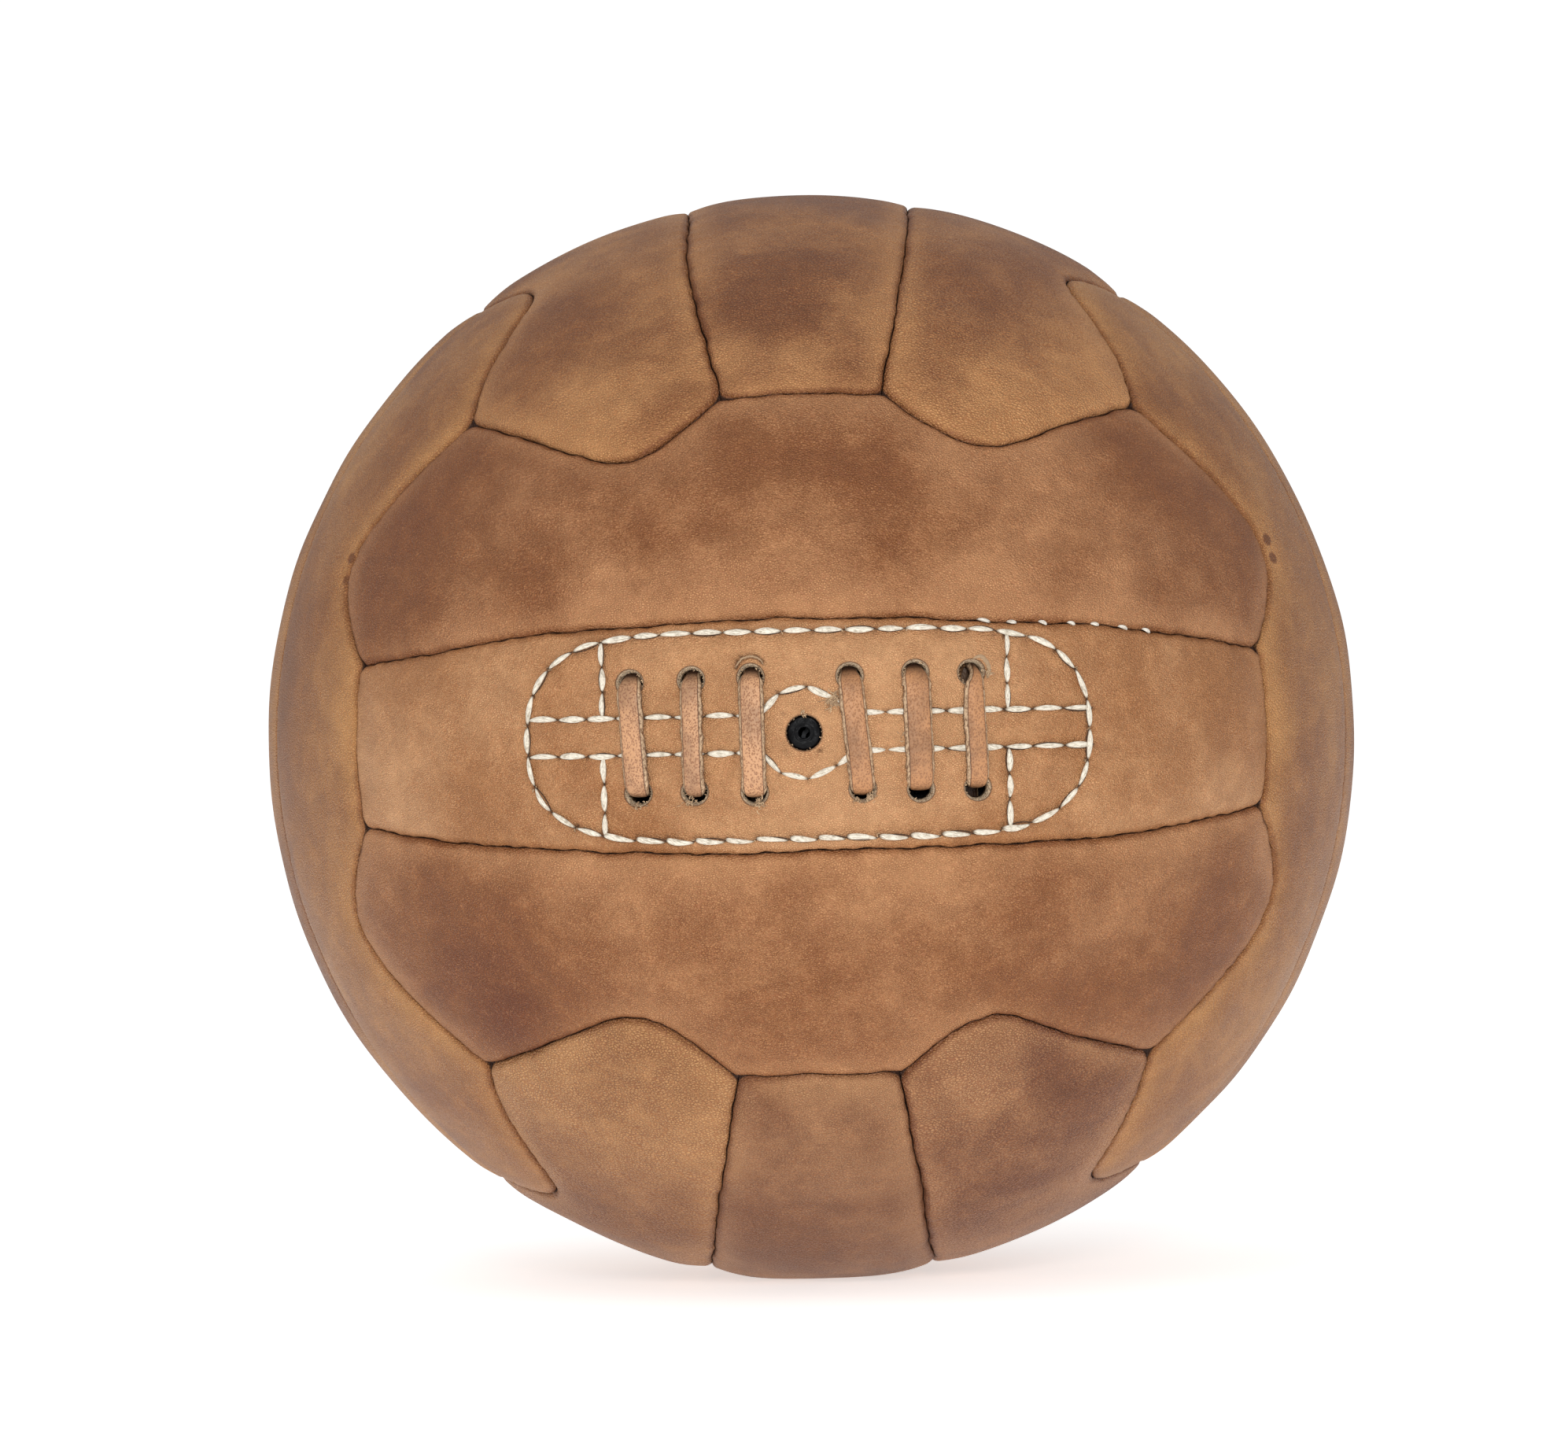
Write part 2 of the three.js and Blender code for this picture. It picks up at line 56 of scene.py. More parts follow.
BLADDER_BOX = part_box("bladder")
CENTRE = np.array([0.0, 0.0, (BLADDER_BOX[0].z + BLADDER_BOX[1].z) / 2]) / MM
CROWN_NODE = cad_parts["top_middle_panel"]
RADIUS = max((v.co / MM - Vector(CENTRE)).length for v in CROWN_NODE.data.vertices)
FLOOR_DEPTH = CENTRE[2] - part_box("bottom_middle_panel")[0].z / MM

LEATHER = 2.4
EDGE_ROUND = 1.0  # radius of a panel's turned-in edge
PILLOW = 0.7  # how far a panel's margin falls away before the edge turns in
PILLOW_REACH = 3.8
PUCKER = 0.22  # depth of the puckers beside a seam
PUCKER_REACH = 2.4
PUCKER_PITCH = 4.2
FULLNESS = 0.08  # how far a panel stands proud of the CAD's sphere
SWELLS = ((26, 5, 0.1), (60, 6, 0.14))  # wavelength, seed and size of its unevenness
SWELL_REACH = 8
FLANGE_RADIUS = RADIUS - 6.5
FLANGE_WIDTH = 2.6
INSIDE = RADIUS - LEATHER - 0.4
HALF_GAP = 0.06
CORNER_ROUND = 2.2  # radius of a panel's corners, seen from outside
STITCH_PITCH = 5.7
SEAM_DEPTH = 5.4  # of the hidden stitches

# The panel pattern, as angles in degrees seen from the ball's centre
CORNER = math.degrees(math.asin(1 / math.sqrt(3)))
CREST_ANGLE = 34.8
TIP_ANGLE = 24.6
TIP_AT = 18.25
FLANK_SLOPE = 1.03
TIP_ROUNDING = 6.2
SEAM_ANGLE = 11.8
SEAM_SPREAD = 1.5
SPREAD_AT = 52.0

# Each face's outward way, the way its strips run, and the names of its outer strips
FACES = {
    "front": ((0, -1, 0), (1, 0, 0), ("upper", "lower")),
    "back": ((0, 1, 0), (1, 0, 0), ("lower", "upper")),
    "top": ((0, 0, 1), (0, 1, 0), ("left", "right")),
    "bottom": ((0, 0, -1), (0, 1, 0), ("right", "left")),
    "left": ((-1, 0, 0), (0, 0, 1), ("rear", "forward")),
    "right": ((1, 0, 0), (0, 0, 1), ("forward", "rear")),
}

# Lacing, in x and z from the valve, which sits a little off the laced panel's middle
LACING_CENTRE = (-1.3, 0.8)
# A bar's x at each end, its width, its two holes' z, how early it dips at the lower one, and
# the share of its width that is folded away at the upper one
Bar = namedtuple("Bar", "top foot width high low early folded", defaults=(0.0,))
BARS = (
    Bar(-32.6, -31.4, 4.8, 10.1, -10.7, 0.2),
    Bar(-21.0, -20.8, 4.2, 10.3, -10.7, 0.0),
    Bar(-9.8, -9.5, 4.8, 10.5, -11.0, 0.0),
    Bar(8.8, 10.7, 4.9, 10.4, -10.8, -0.2),
    Bar(21.1, 21.6, 5.4, 10.7, -11.1, 0.7),
    Bar(31.6, 32.4, 4.4, 10.7, -11.1, 0.9, 0.42),
)
LACE_HALF_THICKNESS = 0.65
HOLE_RADIUS = 2.15
HOLE_RIM = 0.42  # width of the rough bevelled cut round a lace hole
BEVEL_DEPTH = 0.95
HOLE_DIP = 0.3  # how far the leather is drawn in round a hole
STITCH_DIP = 0.24  # and along the stitching
PIT_DEPTH = 0.5  # of a needle hole
VALVE_HOLE = 3.35
OUTLINE_MIDDLE = (0.8, -0.35)
OUTLINE_LENGTH = 53.2
OUTLINE_HEIGHT = 19.5
OUTLINE_END_POWER = 6.0
OUTLINE_SIDE_POWER = 2.5
CENTRE_LINE = 3.5
VALVE_RING = 8.7
LEFT_TICK, RIGHT_TICK = -37.8, 38.4
WEDGES_BELOW = -17.8
WEDGE_SLANT = 0.55
STITCH_LIFT = 0.18
STITCH_DIVE = 0.5  # how deep its ends go
STITCH_SIDES = 14
VALVE_NICKS = ((-3.5, -3.4), (2.8, -3.5), (-3.7, 3.5))


def unit(vectors):
    return vectors / np.linalg.norm(vectors, axis=-1, keepdims=True)


def once_round(count):
    """Equal steps of angle once round."""
    return np.linspace(0, 2 * np.pi, count, endpoint=False)


def on_circle(turn):
    return np.stack([np.cos(turn), np.sin(turn)], -1)


def front_place(x, z):
    """The place on the front of the ball at x and z."""
    return np.array([x, -math.sqrt(RADIUS**2 - x * x - z * z), z])


# --- Noise that is the same on every run ------------------------------------------------

def ripple(points, wavelength, seed, waves=14):
    """Smooth noise of about unit size over points, in millimetres."""
    rng = np.random.default_rng(seed)
    headings = unit(rng.normal(size=(waves, 3)))
    lengths = wavelength * rng.uniform(0.7, 1.5, waves)
    phases = rng.uniform(0, 2 * np.pi, waves)
    turns = points @ (headings / lengths[:, None]).T * 2 * np.pi + phases
    return np.sin(turns).sum(-1) * math.sqrt(2 / waves)


# Where hand sewing has pulled the front seams: x, z, how far round, how much across and up
TUGS = (
    (-21, 88, 26, -1.7, 0), (0, 64, 15, 0, 1.7), (39, 57, 23, 0.3, 2.3),
    (-57, 71, 21, -3.0, 0), (57, 73, 21, 3.2, 0), (-55, -73, 21, -2.6, 0),
    (58, -71, 21, 2.4, 0), (-8, -22, 34, 0, 0.9), (48, -56, 20, 0, -1.8),
)
WAVERS = ((4.2, 20, 0.07), (9.0, 0, 0.1), (45.0, 10, 0.25))  # wavelength, seed and size
SEWN_REACH = 8  # how far from a seam the sewing has moved the leather


def handmade(points, rim):
    """Points near a seam moved a little along the surface, as hand sewing leaves them."""
    shift = 0
    for x, z, reach, across, up in TUGS:
        away = ((points - front_place(x, z)) ** 2).sum(-1, keepdims=True)
        shift = shift + np.exp(-(away / reach**2)) * (across, 0, up)
    shift = shift + np.stack([sum(ripple(points, length, seed + axis) * size
                                  for length, seed, size in WAVERS) for axis in (1, 2, 3)], -1)
    shift = shift * np.exp(-((rim / SEWN_REACH) ** 2))[:, None]
    outward = unit(points)
    return points + shift - (shift * outward).sum(-1, keepdims=True) * outward


# --- Panel pattern ----------------------------------------------------------------------

def wave_angle(phi):
    """Angle from a face's normal to its scalloped edge, phi degrees along the edge."""
    outward = np.abs(phi) - TIP_AT
    inner = np.minimum(CREST_ANGLE, TIP_ANGLE - FLANK_SLOPE * outward)
    inner_at_corner = TIP_ANGLE - FLANK_SLOPE * (CORNER - TIP_AT)
    outer_at_corner = 45 - TIP_ROUNDING**2 / (45 - inner_at_corner)
    outer = TIP_ANGLE + (outer_at_corner - TIP_ANGLE) * outward / (CORNER - TIP_AT)
    return (inner + outer) / 2 + np.hypot((inner - outer) / 2, TIP_ROUNDING)


def seam_angle(phi):
    """Angle from a face's middle line to the seam beside its middle strip."""
    return SEAM_ANGLE + SEAM_SPREAD * (phi / SPREAD_AT) ** 2


def local_direction(phi, psi):
    """Direction in a face's own frame: along its strips, across them, and outwards."""
    phi, psi = np.radians(phi), np.radians(psi)
    return np.stack([np.sin(phi), np.cos(phi) * np.sin(psi), np.cos(phi) * np.cos(psi)], -1)


def local_end(end, theta):
    """A point of the scalloped edge that closes the strips at one end of a face."""
    wave, theta = np.radians(wave_angle(theta)), np.radians(theta)
    return np.stack([end * np.cos(theta) * np.cos(wave), np.sin(theta),
                     np.cos(theta) * np.sin(wave)], -1)


def find_junction():
    """Where a straight seam meets the scalloped edge: the angles on wave and seam."""
    low, high = 0.0, TIP_AT
    for _ in range(50):
        theta = (low + high) / 2
        along, across, out = local_end(1, np.float64(theta))
        phi = math.degrees(math.asin(along))
        if math.degrees(math.atan2(across, out)) < seam_angle(phi):
            low = theta
        else:
            high = theta
    return theta, phi


WAVE_JUNCTION, SEAM_JUNCTION = find_junction()


def seam_curve(side, s):
    phi = SEAM_JUNCTION * (2 * s - 1)
    return local_direction(phi, side * seam_angle(phi))


def wave_curve(side, s):
    phi = CORNER * (2 * s - 1)
    return local_direction(phi, side * wave_angle(phi))


BORDERS = {
    -1: (lambda s: wave_curve(-1, s), lambda s: seam_curve(-1, s)),
    0: (lambda s: seam_curve(-1, s), lambda s: seam_curve(1, s)),
    1: (lambda s: seam_curve(1, s), lambda s: wave_curve(1, s)),
}
END_SPANS = {
    -1: (-CORNER, -WAVE_JUNCTION),
    0: (-WAVE_JUNCTION, WAVE_JUNCTION),
    1: (WAVE_JUNCTION, CORNER),
}


def strip_point(strip, s, t):
    """Directions of a Coons patch between a strip's four borders; s and t broadcast."""
    low, high = END_SPANS[strip]
    side_a, side_b = BORDERS[strip]
    ends = [lambda t, end=end: local_end(end, low + (high - low) * t) for end in (-1, 1)]
    zero, one = np.float64(0), np.float64(1)
    s, t = np.asarray(s)[..., None], np.asarray(t)[..., None]
    flat_s, flat_t = s[..., 0], t[..., 0]
    patch = (1 - t) * side_a(flat_s) + t * side_b(flat_s)
    patch = patch + (1 - s) * ends[0](flat_t) + s * ends[1](flat_t)
    patch = patch - (1 - s) * (1 - t) * ends[0](zero) - s * (1 - t) * ends[1](zero)
    patch = patch - (1 - s) * t * ends[0](one) - s * t * ends[1](one)
    return unit(patch)


def arc_length(points):
    steps = np.linalg.norm(np.diff(points, axis=0), axis=1)
    return np.concatenate([[0], np.cumsum(steps)])


def strip_size(strip):
    """A strip's length and width along its middle lines."""
    ends = strip_point(strip, np.array([0, 1, 0.5, 0.5]), np.array([0.5, 0.5, 0, 1]))
    return [RADIUS * math.acos(float(a @ b)) for a, b in (ends[:2], ends[2:])]


def graded(length, step):
    """Places from 0 to 1 along a length, close together near both ends."""
    margin = np.array([0, 0.25, 0.55, 0.95, 1.45, 2.1, 3.0, 4.1, 5.4])
    inner = np.linspace(margin[-1] + step, length - margin[-1] - step,
                        max(2, round((length - 2 * margin[-1]) / step) - 1))
    places = np.concatenate([margin, inner, length - margin[::-1]])
    return (places * (1 - 2 * HALF_GAP / length) + HALF_GAP) / length


def seam_samples(strip):
    """Points along each of a strip's borders with their arc length from its middle."""
    theta = np.linspace(-CORNER, CORNER, 800)
    inside = (theta >= END_SPANS[strip][0]) & (theta <= END_SPANS[strip][1])
    curves = [(border(np.linspace(0, 1, 500)), slice(None)) for border in BORDERS[strip]]
    curves += [(local_end(end, theta), inside) for end in (-1, 1)]
    sides = []
    for curve, part in curves:
        reach = arc_length(curve * RADIUS)
        sides.append(((curve * RADIUS)[part], (reach - reach[-1] / 2)[part]))
    return sides


def nearest(samples, queries):
    """Index of and distance to the nearest sample, for each query."""
    tree = kdtree.KDTree(len(samples))
    for i, spot in enumerate(samples):
        tree.insert(spot, i)
    tree.balance()
    return [np.array(values) for values in zip(*(tree.find(q)[1:] for q in queries))]


def seam_distance(sides, queries):
    """Distance to a panel's rounded outline, and the place along the nearest border."""
    found, away = zip(*(nearest(samples, queries) for samples, _ in sides))
    away = np.array(away)
    marks = np.choose(away.argmin(0), [side[1][index] for side, index in zip(sides, found)])
    short = np.maximum(CORNER_ROUND - away, 0)
    rounded = CORNER_ROUND - np.sqrt((short**2).sum(0))
    rim = np.where(away.min(0) < CORNER_ROUND, rounded, away.min(0))
    return np.maximum(rim - HALF_GAP, 0), marks


def panel_height(rim, mark, points):
    """How far the leather stands from the crown sphere, near seams and over the panel."""
    round_off = EDGE_ROUND * (1 + 0.2 * ripple(points, 30, 42))
    turned = np.clip(round_off - rim, 0, round_off)
    edge = round_off - np.sqrt(np.maximum(round_off**2 - turned**2, 0))
    pillow = PILLOW * np.exp(-((rim / PILLOW_REACH) ** 1.3))
    pull = 0.5 - 0.5 * np.cos(2 * np.pi * mark / PUCKER_PITCH + ripple(points, 20, 40))
    pull = pull * (0.6 + 0.4 * ripple(points, 30, 41))
    pucker = PUCKER * (1 - pull) * np.exp(-rim / PUCKER_REACH)
    swell = sum((size * ripple(points, length, seed) for length, seed, size in SWELLS), FULLNESS)
    return -edge - pillow - pucker + swell * np.clip(rim / SWELL_REACH, 0, 1)


def settle(points):
    """The underside flattened where the ball stands."""
    z = points[..., 2]
    depth = -z - FLOOR_DEPTH
    soft = 0.05
    pressed = (depth + np.sqrt(depth**2 + soft**2)) / 2 - soft / 2
    points = points.copy()
    points[..., 2] = z + np.maximum(pressed, depth)
    return points


# --- Meshes -----------------------------------------------------------------------------

def add_mesh(name, points, faces, attributes=None):
    """A smooth Blender mesh from points in millimetres round the ball's centre."""
    mesh = bpy.data.meshes.new(name)
    mesh.from_pydata(((points + CENTRE) * MM).tolist(), [], faces)
    mesh.validate()
    mesh.update()
    for key, values in (attributes or {}).items():
        layer = mesh.attributes.new(key, "FLOAT", "POINT")
        layer.data.foreach_set("value", np.asarray(values, np.float32))
    mesh.polygons.foreach_set("use_smooth", [True] * len(mesh.polygons))
    return add_object(name, mesh)


def add_object(name, data):
    made = bpy.data.objects.new(name, data)
    bpy.context.scene.collection.objects.link(made)
    return made


def finish_piece(piece, material, slot, *nodes):
    piece.data.materials.append(material)
    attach(piece, "root")
    if nodes:
        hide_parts(*nodes)


def grid_faces(grid):
    """Quads of a grid of point numbers."""
    quads = np.stack([grid[:-1, :-1], grid[1:, :-1], grid[1:, 1:], grid[:-1, 1:]], -1)
    return quads.reshape(-1, 4)


def grid_rim(grid):
    """The border of such a grid as one closed loop."""
    return np.concatenate([grid[:, 0], grid[-1, 1:], grid[-2::-1, -1], grid[0, -2:0:-1]])


def wall_faces(loop, offset):
    """Quads to a loop's copy an offset on; the loop is counterclockwise seen from outside."""
    onward = np.roll(loop, -1)
    return np.stack([loop, loop + offset, onward + offset, onward], -1).tolist()


def face_basis(face):
    normal, along = (np.array(way, float) for way in FACES[face][:2])
    return np.stack([along, np.cross(normal, along), normal])


def inner_radius(rim):
    """Radius of the leather's inside: flanges turn in at the seams."""
    return FLANGE_RADIUS + (INSIDE - FLANGE_RADIUS) * np.clip(rim / FLANGE_WIDTH, 0, 1)


STRIP_STEP, LACED_STEP = 1.25, 0.75  # mesh sizes
STRIPS = {}
for strip in (-1, 0, 1):
    length, width = strip_size(strip)
    grid = np.meshgrid(graded(length, STRIP_STEP), graded(width, STRIP_STEP), indexing="ij")
    directions = strip_point(strip, *grid).reshape(-1, 3)
    sides = seam_samples(strip)
    rim, marks = seam_distance(sides, directions * RADIUS)
    STRIPS[strip] = {"shape": grid[0].shape, "directions": directions, "sides": sides,
                     "rim": rim, "mark": marks}


def strip_name(face, strip):
    return f"{face}_{'middle' if strip == 0 else FACES[face][2][strip < 0]}"


def build_panel(face, strip):
    """One plain panel: outer skin, turned-in edge and inner skin as a closed solid."""
    data = STRIPS[strip]
    rim = data["rim"]
    place = handmade(data["directions"] @ face_basis(face) * RADIUS, rim)
    outward = unit(place)
    outer = outward * (RADIUS + panel_height(rim, data["mark"], place))[:, None]
    inner = outward * inner_radius(rim)[:, None]
    count = len(outer)
    grid = np.arange(count).reshape(data["shape"])
    quads = grid_faces(grid)
    faces = quads.tolist() + (quads + count)[:, ::-1].tolist() + wall_faces(grid_rim(grid), count)
    return add_mesh(f"{strip_name(face, strip)}_leather", settle(np.concatenate([outer, inner])),
                    faces, {"rim": np.concatenate([rim, np.zeros(count)])})


# --- The laced panel --------------------------------------------------------------------

def shell_point(flat, radius):
    """Points over the laced panel from x and z beside the valve, pushed out to a radius."""
    flat = np.asarray(flat, float) + LACING_CENTRE
    depth = np.sqrt(RADIUS**2 - (flat**2).sum(-1))
    place = np.stack([flat[..., 0], -depth, flat[..., 1]], -1)
    return place * (np.asarray(radius) / RADIUS)[..., None]


def circle(centre, radius, count=44):
    return np.asarray(centre) + radius * on_circle(once_round(count))


HOLE_RINGS = (0, 0.16, 0.32, 0.48, 0.6, 0.72, 0.9, 1.2)  # of the mesh round each hole
HOLE_CLEAR = 1.5  # where its plain grid takes over
LACE_HOLES = [(bar.top, bar.high) for bar in BARS] + [(bar.foot, bar.low) for bar in BARS]
HOLES = [((0.0, 0.0), VALVE_HOLE)] + [(spot, HOLE_RADIUS) for spot in LACE_HOLES]


def hole_distance(flat, holes=HOLES):
    """Distance outside the nearest hole; negative inside one."""
    return np.min([np.hypot(*(flat - spot).T) - radius for spot, radius in holes], 0)


def outline_path():
    turn = np.linspace(0, 2 * np.pi, 721)
    cosine, sine = np.cos(turn), np.sin(turn)
    x = OUTLINE_LENGTH * np.sign(cosine) * np.abs(cosine) ** (2 / OUTLINE_END_POWER)
    z = OUTLINE_HEIGHT * np.sign(sine) * np.abs(sine) ** (2 / OUTLINE_SIDE_POWER)
    return np.stack([x, z], -1) + OUTLINE_MIDDLE


def centre_path(side):
    """A centre line: straight, half round the valve, and straight again."""
    meet = math.sqrt(VALVE_RING**2 - CENTRE_LINE**2)
    start = math.atan2(CENTRE_LINE, -meet)
    ring = VALVE_RING * on_circle(np.linspace(start, math.pi - start, 40))
    reach = np.linspace(-OUTLINE_LENGTH + 0.2, -meet - 0.6, 60)
    run = np.stack([reach, np.full(60, CENTRE_LINE)], -1)
    other_run = run[::-1] * (-1, 1) + (2 * OUTLINE_MIDDLE[0], 0)
    other_run[0, 0] = -run[-1, 0]
    return np.concatenate([run + (OUTLINE_MIDDLE[0], 0), ring, other_run]) * (1, side)


def tick_path(x, side):
    drop = 1 - abs((x - OUTLINE_MIDDLE[0]) / OUTLINE_LENGTH) ** OUTLINE_END_POWER
    top = OUTLINE_HEIGHT * drop ** (1 / OUTLINE_SIDE_POWER) + side * OUTLINE_MIDDLE[1]
    return np.stack([np.full(30, x), side * np.linspace(top, CENTRE_LINE, 30)], -1)


def along_path(path, reach, places):
    """Points of a path at some arc lengths, given the arc length at each of its points."""
    return np.stack([np.interp(places, reach, column) for column in path.T], -1)


def stitch_ends(path):
    """Needle holes along a path, one stitch apart, a little uneven."""
    reach = arc_length(path)
    count = max(1, round(reach[-1] / STITCH_PITCH))
    places = np.linspace(0, reach[-1], count + 1)
    rng = np.random.default_rng(int(reach[-1] * 10))
    places[1:-1] += rng.normal(0, 0.28, count - 1)
    return along_path(path, reach, places)


STITCH_LINES = {
    "outline_stitching": outline_path(),
    "upper_centre_stitching": centre_path(1),
    "lower_centre_stitching": centre_path(-1),
}
for level, side in (("upper", 1), ("lower", -1)):
    STITCH_LINES[f"{level}_left_tick_stitching"] = tick_path(LEFT_TICK, side)
    STITCH_LINES[f"{level}_right_tick_stitching"] = tick_path(RIGHT_TICK, side)
STITCH_ENDS = {name: stitch_ends(path) for name, path in STITCH_LINES.items()}


def flat_distance(queries, spots):
    """Distance from each flat query to the nearest of a list of flat spots."""
    blocks = np.array_split(spots, len(spots) // 64 + 1)
    return np.min([np.linalg.norm(queries[:, None] - block, axis=-1).min(1)
                   for block in blocks], 0)


def inside_loop(queries, loop):
    """Which flat queries lie inside a closed loop."""
    inside = np.zeros(len(queries), bool)
    for (x0, z0), (x1, z1) in zip(loop, np.roll(loop, -1, 0)):
        crosses = (z0 > queries[:, 1]) != (z1 > queries[:, 1])
        x = x0 + (queries[:, 1] - z0) / (z1 - z0 + 1e-12) * (x1 - x0)
        inside ^= crosses & (queries[:, 0] < x)
    return inside


def laced_layout(step):
    """A flat triangle net of the laced panel that follows its border and its holes."""
    length, width = strip_size(0)
    grid_s, grid_t = np.meshgrid(graded(length, step), graded(width, step), indexing="ij")
    flat = (strip_point(0, grid_s, grid_t) * RADIUS).reshape(-1, 3)[:, :2] - LACING_CENTRE
    border = grid_rim(np.arange(grid_s.size).reshape(grid_s.shape))
    middle = np.ones(len(flat), bool)
    middle[border] = False
    outline = flat[border]
    rings = [circle(spot, radius + grow) for spot, radius in HOLES for grow in HOLE_RINGS]
    points, edges = [flat[middle & (hole_distance(flat) > HOLE_CLEAR)]], []
    start = len(points[0])
    for loop in [outline, *rings]:
        count = len(loop)
        edges += [(start + k, start + (k + 1) % count) for k in range(count)]
        points.append(loop)
        start += count
    net = delaunay_2d_cdt([Vector(p) for p in np.concatenate(points)], edges, [], 0, 1e-5, False)
    flat, faces = np.array([tuple(v) for v in net[0]]), np.array(net[2])
    centres = flat[faces].mean(1)
    return flat, faces[inside_loop(centres, outline) & (hole_distance(centres) > -0.01)]


def open_loops(faces):
    """The border loops of a triangle net, in the order of its faces."""
    forward = {(f[k], f[(k + 1) % 3]) for f in faces.tolist() for k in range(3)}
    onward = {a: b for a, b in forward if (b, a) not in forward}
    loops = []
    while onward:
        start = next(iter(onward))
        loop = [start]
        while onward[loop[-1]] != start:
            loop.append(onward[loop[-1]])
        for k in loop:
            onward.pop(k)
        loops.append(loop)
    return loops


def punch_mark():
    """The crescent left above one hole by a punch that slipped."""
    turn = np.radians(np.linspace(28, 168, 30))
    return np.array([BARS[2].top, BARS[2].high + 1.3]) + 2.75 * on_circle(turn)


def dent(queries, spots, reach):
    """1 at any of some flat spots, fading to 0 past a reach."""
    return np.exp(-((flat_distance(queries, spots) / reach) ** 2))


def laced_height(flat, rim, mark, place):
    """Panel height with bevelled holes, drawn-in stitching and needle holes, and a mask of painted
    shade in the needle holes, nicks and the punch mark.
    """
    height = panel_height(rim, mark, place)
    bevel = np.clip(1 - hole_distance(flat, HOLES[1:]) / HOLE_RIM, 0, 1)
    height -= BEVEL_DEPTH * bevel**1.2 * (1 + 0.12 * ripple(place, 0.9, 71))
    height -= HOLE_DIP * np.exp(-hole_distance(flat) / 1.4)
    lines = [(path, arc_length(path)) for path in STITCH_LINES.values()]
    lines = np.concatenate([along_path(*line, np.arange(0, line[1][-1], 0.6)) for line in lines])
    height -= STITCH_DIP * dent(flat, lines, 1.1)
    # Needle holes, nicks and the punch mark are sunk and also carry painted shade.
    pits = dent(flat, np.concatenate([*STITCH_ENDS.values(), VALVE_NICKS]), 0.42)
    slit = dent(flat, punch_mark(), 0.35)
    height -= PIT_DEPTH * pits + PIT_DEPTH * slit
    return height, np.maximum(0.75 * pits, 0.9 * slit)


def build_laced_panel():
    flat, faces = laced_layout(LACED_STEP)
    data = STRIPS[0]
    place = shell_point(flat, RADIUS)
    rim, marks = seam_distance(data["sides"], place @ face_basis("front").T)
    place = handmade(place, rim)
    outward = unit(place)
    height, pits = laced_height(flat, rim, marks, place)
    outer = outward * (RADIUS + height)[:, None]
    inner = outward * inner_radius(rim)[:, None]
    count = len(outer)
    solid = faces.tolist() + (faces + count)[:, ::-1].tolist()
    for loop in open_loops(faces):
        solid += wall_faces(np.array(loop), count)
    away = hole_distance(flat, HOLES[1:])
    # The raw face of a lace hole's cut, a painted shade line round it, and painted shade in the gap
    # round the valve
    cut = np.clip((HOLE_RIM - away) / 0.12, 0, 1)
    line = np.exp(-(((away - HOLE_RIM - 0.03) / 0.14) ** 2))
    valve_gap_shade = np.exp(-(np.clip(hole_distance(flat, HOLES[:1]), 0, None) / 0.22) ** 2)
    pits = np.max([pits, 0.9 * line, 0.8 * valve_gap_shade], 0)
    zero = np.zeros(count)
    layers = {"rim": np.concatenate([rim, zero]), "pit": np.concatenate([pits, zero]),
              "cut": np.concatenate([cut, np.full(count, 0.6)])}
    return add_mesh("front_middle_leather", np.concatenate([outer, inner]), solid, layers)


# --- Materials --------------------------------------------------------------------------

def srgb(red, green, blue):
    """Linear colour, with alpha, from 0 to 255 display values."""
    def linear(value):
        value /= 255
        return value / 12.92 if value <= 0.04045 else ((value + 0.055) / 1.055) ** 2.4

    return (linear(red), linear(green), linear(blue), 1.0)


# Colour of the painted shade laid into seam gaps, needle holes, hole rims and the gap round the
# valve.
PAINTED_SHADE_COLOUR = srgb(54, 29, 16)
# Multiplied into the grain's creases: grime in the grain and painted shade of its pebbles.
CREASE_SHADE = srgb(160, 116, 86)


